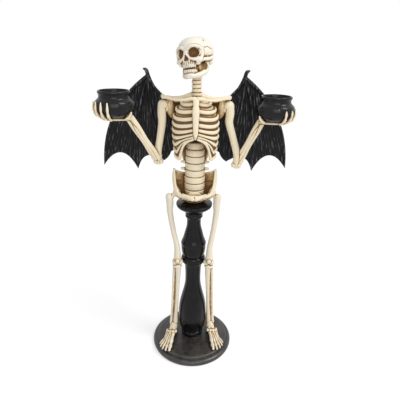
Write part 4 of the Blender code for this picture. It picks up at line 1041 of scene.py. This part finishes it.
def make_skull():
    """Braincase, brow, orbits, nose, cheekbones, both jaws and two rows of teeth."""
    lump = new_lump()
    add_ball(lump, (0, 0.0030, 0.0007), (0.0232, 0.0280, 0.0203), sides=40, rows=26)
    add_ball(lump, (0, -0.0092, 0.0044), (0.0206, 0.0200, 0.0156), sides=32, rows=20)
    # face between the orbits and down to the upper teeth
    add_ball(lump, (0, -0.0140, -0.0045), (0.0195, 0.0128, 0.0120), sides=32, rows=20)
    add_ball(lump, (0, -0.0180, -0.0150), (0.0113, 0.0110, 0.0080))
    for s in (-1, 1):
        # brow ridge over the orbit and round its outer side to the cheekbone
        add_bone(lump, [(s * 0.0020, -0.0268, 0.0032), (s * 0.0065, -0.0272, 0.0056),
                        (s * 0.0120, -0.0250, 0.0060),
                        (s * 0.0184, -0.0200, 0.0036), (s * 0.0202, -0.0176, -0.0035),
                        (s * 0.0184, -0.0195, -0.0110)],
                 [0.0024, 0.0024, 0.0024, 0.0022, 0.0020, 0.0028])
        add_bone(lump, [(s * 0.0042, -0.0278, -0.0050), (s * 0.0065, -0.0278, -0.0090),
                        (s * 0.0110, -0.0262, -0.0112),
                        (s * 0.0170, -0.0218, -0.0115)], [0.0015, 0.0019, 0.0022, 0.0026])
        # outer wall of the orbit and the root of the nose, so that no groove is left behind the rim
        add_ball(lump, (s * 0.0165, -0.0160, -0.0030), (0.0050, 0.0052, 0.0085))
        add_ball(lump, (s * 0.0020, -0.0232, 0.0004), (0.0050, 0.0044, 0.0066))
        # cheekbone and the arch back to the ear
        add_ball(lump, (s * 0.0150, -0.0200, -0.0122), (0.0060, 0.0054, 0.0046))
        add_ball(lump, (s * 0.0140, -0.0203, -0.0158), (0.0036, 0.0036, 0.0036))
        add_bone(lump, [(s * 0.0150, -0.0205, -0.0120), (s * 0.0204, -0.0110, -0.0122),
                        (s * 0.0222, 0.0000, -0.0112),
                        (s * 0.0205, 0.0080, -0.0095)], [0.0038, 0.0028, 0.0024, 0.0030])
        # nose bone
        add_bone(lump, [(0, -0.0270, 0.0030), (s * 0.0010, -0.0292, -0.0015), (s * 0.0016, -0.0304, -0.0045)],
                 [0.0022, 0.0018, 0.0012])
        # side of the nose opening, down to the roots of the teeth
        add_bone(lump, [(s * 0.0026, -0.0292, -0.0050), (s * 0.0046, -0.0280, -0.0095),
                        (s * 0.0042, -0.0283, -0.0132)],
                 [0.0013, 0.0015, 0.0014])
        # roots of the upper teeth
        for k in range(5):
            a = radians(9 + k * 15)
            add_bone(lump, [(s * 0.0105 * sin(a), -0.0183 - 0.0103 * cos(a), -0.0135 + 0.0006 * k),
                            (s * 0.0108 * sin(a), -0.0181 - 0.0107 * cos(a), -0.0182)], [0.0010, 0.0012],
                     sides=10, per_span=3)
        # jaw: branch, angle and body
        add_bone(lump, [(s * 0.0190, -0.0030, -0.0085), (s * 0.0187, -0.0046, -0.0150),
                        (s * 0.0172, -0.0072, -0.0262),
                        (s * 0.0122, -0.0165, -0.0318), (0, -0.0256, -0.0322)],
                 [0.0024, 0.0029, 0.0037, 0.0038, 0.0040], [1.5, 1.5, 1.25, 1.0, 1.0], face=(1, 0, 0))
        # bump behind the ear
        add_ball(lump, (s * 0.0160, 0.0095, -0.0130), (0.0042, 0.0052, 0.0064))
        # resin left between the jaw's branch and the throat
        add_ball(lump, (s * 0.0122, -0.0080, -0.0205), (0.0034, 0.0098, 0.0095))
    # gums of the lower jaw, and the chin
    add_ball(lump, (0, -0.0184, -0.0272), (0.0103, 0.0096, 0.0056))
    add_ball(lump, (0, -0.0236, -0.0318), (0.0085, 0.0056, 0.0046))
    # floor of the mouth, which closes the space behind the teeth
    add_ball(lump, (0, -0.0125, -0.0225), (0.0115, 0.0105, 0.0085))
    # seat of the skull on the neck
    add_ball(lump, (0, 0.0065, -0.0150), (0.0120, 0.0140, 0.0080))
    hollows = new_lump()
    for s in (-1, 1):
        tilt = Matrix.Rotation(s * radians(18), 4, 'Z')
        add_ball(hollows, (s * 0.0112, -0.0262, -0.0026), (0.0083, 0.0086, 0.0069), tilt, sides=32, rows=20)
        # pear-shaped nose opening, one half each side of the middle
        add_bone(hollows, [(s * 0.0006, -0.0308, -0.0058), (s * 0.0018, -0.0290, -0.0108)], [0.0013, 0.0022],
                 sides=12)
        # temple, and the space behind the cheek
        add_ball(hollows, (s * 0.0262, -0.0080, 0.0000), (0.0034, 0.0095, 0.0080))
        add_ball(hollows, (s * 0.0205, -0.0128, -0.0205), (0.0052, 0.0058, 0.0066))
    skull = cast("skull_bone", lump, 0.0005, 2, hollows)
    points, facing = coordinates(skull), normals(skull)
    stain, carve = np.zeros(len(points)), np.zeros(len(points))
    # without a seed Blender takes the clock's, and the cracks wander another way each run
    noise.seed_set(1)
    for picks in CRACK_PICKS:
        line = [crack_point(pick) for pick in picks]
        line = [line[0]] + [tuple(np.array(p) + 0.5 * np.array(noise.noise_vector(Vector(p) * 0.9)))
                            for p in line[1:-1]] + [line[-1]]
        away = near_line(points, line)
        carve = np.maximum(carve, np.exp(-(away / 0.00060) ** 2))
        stain = np.maximum(stain, 0.12 * np.exp(-(away / 0.0016) ** 2))
    points -= facing * (0.00045 * carve)[:, None]
    set_coordinates(skull, points)
    stain += 1.6 * carve
    # deep brown in the orbits, the nose and behind the cheeks
    for x, y, z, reach, depth in ((0.0108, -0.0225, -0.0025, 0.0084, 0.30),
                                  (0.0180, -0.0090, -0.0200, 0.0085, 0.45),
                                  (0.0, -0.0270, -0.0090, 0.0042, 0.6), (0.0, -0.0270, -0.0227, 0.0100, 0.15),
                                  (0.0145, -0.0150, -0.0200, 0.0090, 0.75)):
        away = np.linalg.norm((np.abs(points[:, 0]) - x, points[:, 1] - y, points[:, 2] - z), axis=0)
        stain += depth * np.clip((reach - away) / 0.0030, 0, 1)
    # the forehead and braincase were wiped clean before the cracks were lined in
    rim = np.linalg.norm((np.abs(points[:, 0]) - 0.0112, points[:, 1] + 0.0225, points[:, 2] + 0.0026),
                         axis=0)
    wiped = np.clip((points[:, 2] + 0.0090) / 0.0040, 0, 1) * np.clip((rim - 0.0078) / 0.0012, 0, 1)
    stain -= 0.45 * wiped * (1 - np.clip(carve * 2, 0, 1))
    weather(skull, stain)
    teeth = new_lump()
    for z, reach, count, long in ((-0.0196, 0.0110, 10, 0.0025), (-0.0257, 0.0104, 10, 0.0025)):
        for k in range(count):
            a = radians((k - (count - 1) / 2) * 14)
            tooth = (reach * sin(a), -0.0179 - reach * cos(a) * 0.97, z)
            add_ball(teeth, tooth, (0.00118, 0.0011, long), Matrix.Rotation(a, 4, 'Z'), sides=12, rows=8)
    row = weather(cast("teeth", teeth, 0.0004, 1), 0.10)
    for piece in (skull, row):
        piece.data.transform(skull_place())
    return skull, row


# Operators, one for each piece or group of like pieces

def bone_look(name, ivory=None, **how):
    return antiqued_resin(name, ivory or colours().ivory, colours().wash, **how)


class HOLDER_OT_turned(bpy.types.Operator):
    """Make the round base and the turned column"""
    bl_idname = "holder.turned"
    bl_label = "Base and column"

    def execute(self, context):
        # the base's pale dust colour also paints a soft grey sheen over it
        dusty_with_sheen = gloss_enamel("Dusty_black_enamel_with_painted_sheen_on_turned_base", "1C1A19", "46423E", 0.10)
        seat_piece(make_base(), "base", dusty_with_sheen)
        black = gloss_enamel("Gloss_black_enamel_on_turned_column", "070708", "161517", specular=0.12)
        seat_piece(make_column(), "column", black)
        return {'FINISHED'}


class HOLDER_OT_cauldrons(bpy.types.Operator):
    """Make the two cauldrons that hold a tealight each"""
    bl_idname = "holder.cauldrons"
    bl_label = "Cauldrons"

    def execute(self, context):
        black = gloss_enamel("Gloss_black_enamel_on_cast_pots", colours().black, "1A191A", specular=0.16)
        for side, own in ((-1, "right"), (1, "left")):
            seat_piece(make_cauldron(side), "cauldron_" + own, black)
        return {'FINISHED'}


class HOLDER_OT_torso(bpy.types.Operator):
    """Make the ribcage, spine, shoulders and pelvis"""
    bl_idname = "holder.torso"
    bl_label = "Torso"

    def execute(self, context):
        look = bone_look("Antiqued_ivory_resin_with_painted_shade_torso", strength=1.1)
        for piece in (make_ribcage(), make_spine(), make_shoulders(), make_pelvis()):
            seat_piece(piece, "torso", look)
        return {'FINISHED'}


class HOLDER_OT_skull(bpy.types.Operator):
    """Make the skull with its teeth"""
    bl_idname = "holder.skull"
    bl_label = "Skull"

    def execute(self, context):
        look = bone_look("Antiqued_ivory_resin_with_painted_shade_skull", colours().bleached)
        for piece in make_skull():
            seat_piece(piece, "skull", look)
        return {'FINISHED'}


class HOLDER_OT_arms(bpy.types.Operator):
    """Make the arms and the hands that hold the cauldrons"""
    bl_idname = "holder.arms"
    bl_label = "Arms"

    def execute(self, context):
        look = bone_look("Antiqued_ivory_resin_with_painted_shade_arms", strength=0.9)
        for side, own in ((-1, "right"), (1, "left")):
            seat_piece(make_arm(side), "arm_" + own, look)
        return {'FINISHED'}


class HOLDER_OT_legs(bpy.types.Operator):
    """Make the legs and feet"""
    bl_idname = "holder.legs"
    bl_label = "Legs"

    def execute(self, context):
        look = bone_look("Antiqued_ivory_resin_with_painted_shade_legs", colours().shank, strength=0.9)
        for side, own in ((-1, "right"), (1, "left")):
            seat_piece(make_leg(side), "leg_" + own, look)
        return {'FINISHED'}


class HOLDER_OT_wings(bpy.types.Operator):
    """Make the ridged bat wings"""
    bl_idname = "holder.wings"
    bl_label = "Wings"

    def execute(self, context):
        look = satin_wing("Satin_black_paint_with_painted_highlights_on_cast_wings", colours().wing)
        for side, own in ((-1, "right"), (1, "left")):
            seat_piece(make_wing(side), "wing_" + own, look)
        return {'FINISHED'}


def studio_floor():
    """Pale studio paper. The camera sees it white and keeps the holder's shadow on it: part of what
    the camera gets is the paper's own light, the rest is the light that falls there."""
    made, tree, plain = new_material("Matt_white_studio_paper")
    plain.inputs["Base Color"].default_value = linear(colours().floor)
    plain.inputs["Roughness"].default_value = 0.9
    plain.inputs["Specular IOR Level"].default_value = 0.1
    lit = add_node(tree, "ShaderNodeBsdfDiffuse", Color=linear("C6C6C6"))
    glow = add_node(tree, "ShaderNodeEmission", Color=linear("FFFFFF"), Strength=0.58)
    seen = add_node(tree, "ShaderNodeAddShader", [(0, lit, 0), (1, glow, 0)])
    bright = add_node(tree, "ShaderNodeEmission", Color=linear("FFFFFF"), Strength=1.0)
    path = add_node(tree, "ShaderNodeLightPath")
    mirrored = add_node(tree, "ShaderNodeMath", [(0, path, "Is Glossy Ray"),
                                                 (1, path, "Is Transmission Ray")],
                        operation='MAXIMUM')
    first = add_node(tree, "ShaderNodeMixShader", [(0, path, "Is Camera Ray"), (1, plain, 0), (2, seen, 0)])
    last = add_node(tree, "ShaderNodeMixShader", [(0, mirrored, "Value"), (1, first, 0), (2, bright, 0)])
    tree.links.new(last.outputs[0], tree.nodes["Material Output"].inputs["Surface"])
    mesh = bpy.data.meshes.new("studio_floor")
    mesh.from_pydata([(-4, -2, -0.0002), (4, -2, -0.0002), (4, 8, -0.0002), (-4, 8, -0.0002)], [],
                     [(0, 1, 2, 3)])
    mesh.materials.append(made)
    floor = bpy.data.objects.new("studio_floor", mesh)
    bpy.context.scene.collection.objects.link(floor)
    return floor


def add_lamp(name, place, aim, power, size=0.0, spread=0.0):
    """A soft square lamp, or with a spread in degrees a far one that lights all places alike."""
    lamp = bpy.data.lights.new(name, 'SUN' if spread else 'AREA')
    lamp.energy = power
    if spread:
        lamp.angle = radians(spread)
    else:
        lamp.size = size
    obj = bpy.data.objects.new(name, lamp)
    obj.location = place
    obj.rotation_euler = (Vector(aim) - Vector(place)).to_track_quat('-Z', 'Y').to_euler()
    bpy.context.scene.collection.objects.link(obj)
    return obj


def add_camera():
    right, up, ahead = camera_axes()
    lens = bpy.data.cameras.new("camera")
    lens.lens = LENS
    lens.sensor_width = SENSOR
    lens.clip_start = 0.01
    camera = bpy.data.objects.new("camera", lens)
    turn = Matrix((right, up, -ahead)).transposed().to_4x4()
    camera.matrix_world = Matrix.Translation(CAMERA_PLACE) @ turn
    bpy.context.scene.collection.objects.link(camera)
    bpy.context.scene.camera = camera


class HOLDER_OT_stage(bpy.types.Operator):
    """Set the pale floor, the soft studio light and the camera"""
    bl_idname = "holder.stage"
    bl_label = "Stage"

    def execute(self, context):
        scene = context.scene
        scene.view_settings.view_transform = 'Standard'
        world = bpy.data.worlds.new("studio_air")
        world.use_nodes = True
        tree = world.node_tree
        air = tree.nodes["Background"]
        air.inputs["Color"].default_value = linear("FFFFFF")
        air.inputs["Strength"].default_value = 0.42
        seen = add_node(tree, "ShaderNodeBackground", Color=linear("FFFFFF"), Strength=1.0)
        path = add_node(tree, "ShaderNodeLightPath")
        either = add_node(tree, "ShaderNodeMath", [(0, path, "Is Camera Ray"), (1, path, "Is Glossy Ray")],
                          operation='MAXIMUM')
        also = add_node(tree, "ShaderNodeMath", [(0, either, "Value"), (1, path, "Is Transmission Ray")],
                        operation='MAXIMUM')
        mix = add_node(tree, "ShaderNodeMixShader", [(0, also, "Value"), (1, air, 0), (2, seen, 0)])
        tree.links.new(mix.outputs[0], tree.nodes["World Output"].inputs["Surface"])
        scene.world = world
        studio_floor()
        add_lamp("key", (0.80, -0.30, 1.00), (0, 0, 0), 1.50, spread=28)
        add_lamp("front", (0.10, -1.30, 0.95), (0, 0, 0.30), 5.0, size=0.9)
        add_lamp("glint", (0.30, -0.80, 0.95), (0, 0, 0.45), 0.5, size=0.06)
        add_camera()
        return {'FINISHED'}


MAKERS = (HOLDER_OT_turned, HOLDER_OT_cauldrons, HOLDER_OT_torso, HOLDER_OT_skull, HOLDER_OT_arms,
          HOLDER_OT_legs, HOLDER_OT_wings, HOLDER_OT_stage)


class HOLDER_PT_panel(bpy.types.Panel):
    """The holder's sizes, colours and pieces"""
    bl_idname = "HOLDER_PT_panel"
    bl_label = "Skeleton candle holder"
    bl_space_type = 'VIEW_3D'
    bl_region_type = 'UI'
    bl_category = "Holder"

    def draw(self, context):
        for group in (context.scene.holder_sizes, context.scene.holder_colours):
            for key in group.bl_rna.properties.keys():
                if key not in ("rna_type", "name"):
                    self.layout.prop(group, key)
        for maker in MAKERS:
            self.layout.operator(maker.bl_idname)


CLASSES = (HolderSizes, HolderColours, *MAKERS, HOLDER_PT_panel)


def register():
    for each in CLASSES:
        bpy.utils.register_class(each)
    bpy.types.Scene.holder_sizes = bpy.props.PointerProperty(type=HolderSizes)
    bpy.types.Scene.holder_colours = bpy.props.PointerProperty(type=HolderColours)


def unregister():
    del bpy.types.Scene.holder_colours
    del bpy.types.Scene.holder_sizes
    for each in reversed(CLASSES):
        bpy.utils.unregister_class(each)


def main():
    register()
    for maker in MAKERS:
        group, action = maker.bl_idname.split(".")
        getattr(getattr(bpy.ops, group), action)()


if __name__ == "__main__":
    main()
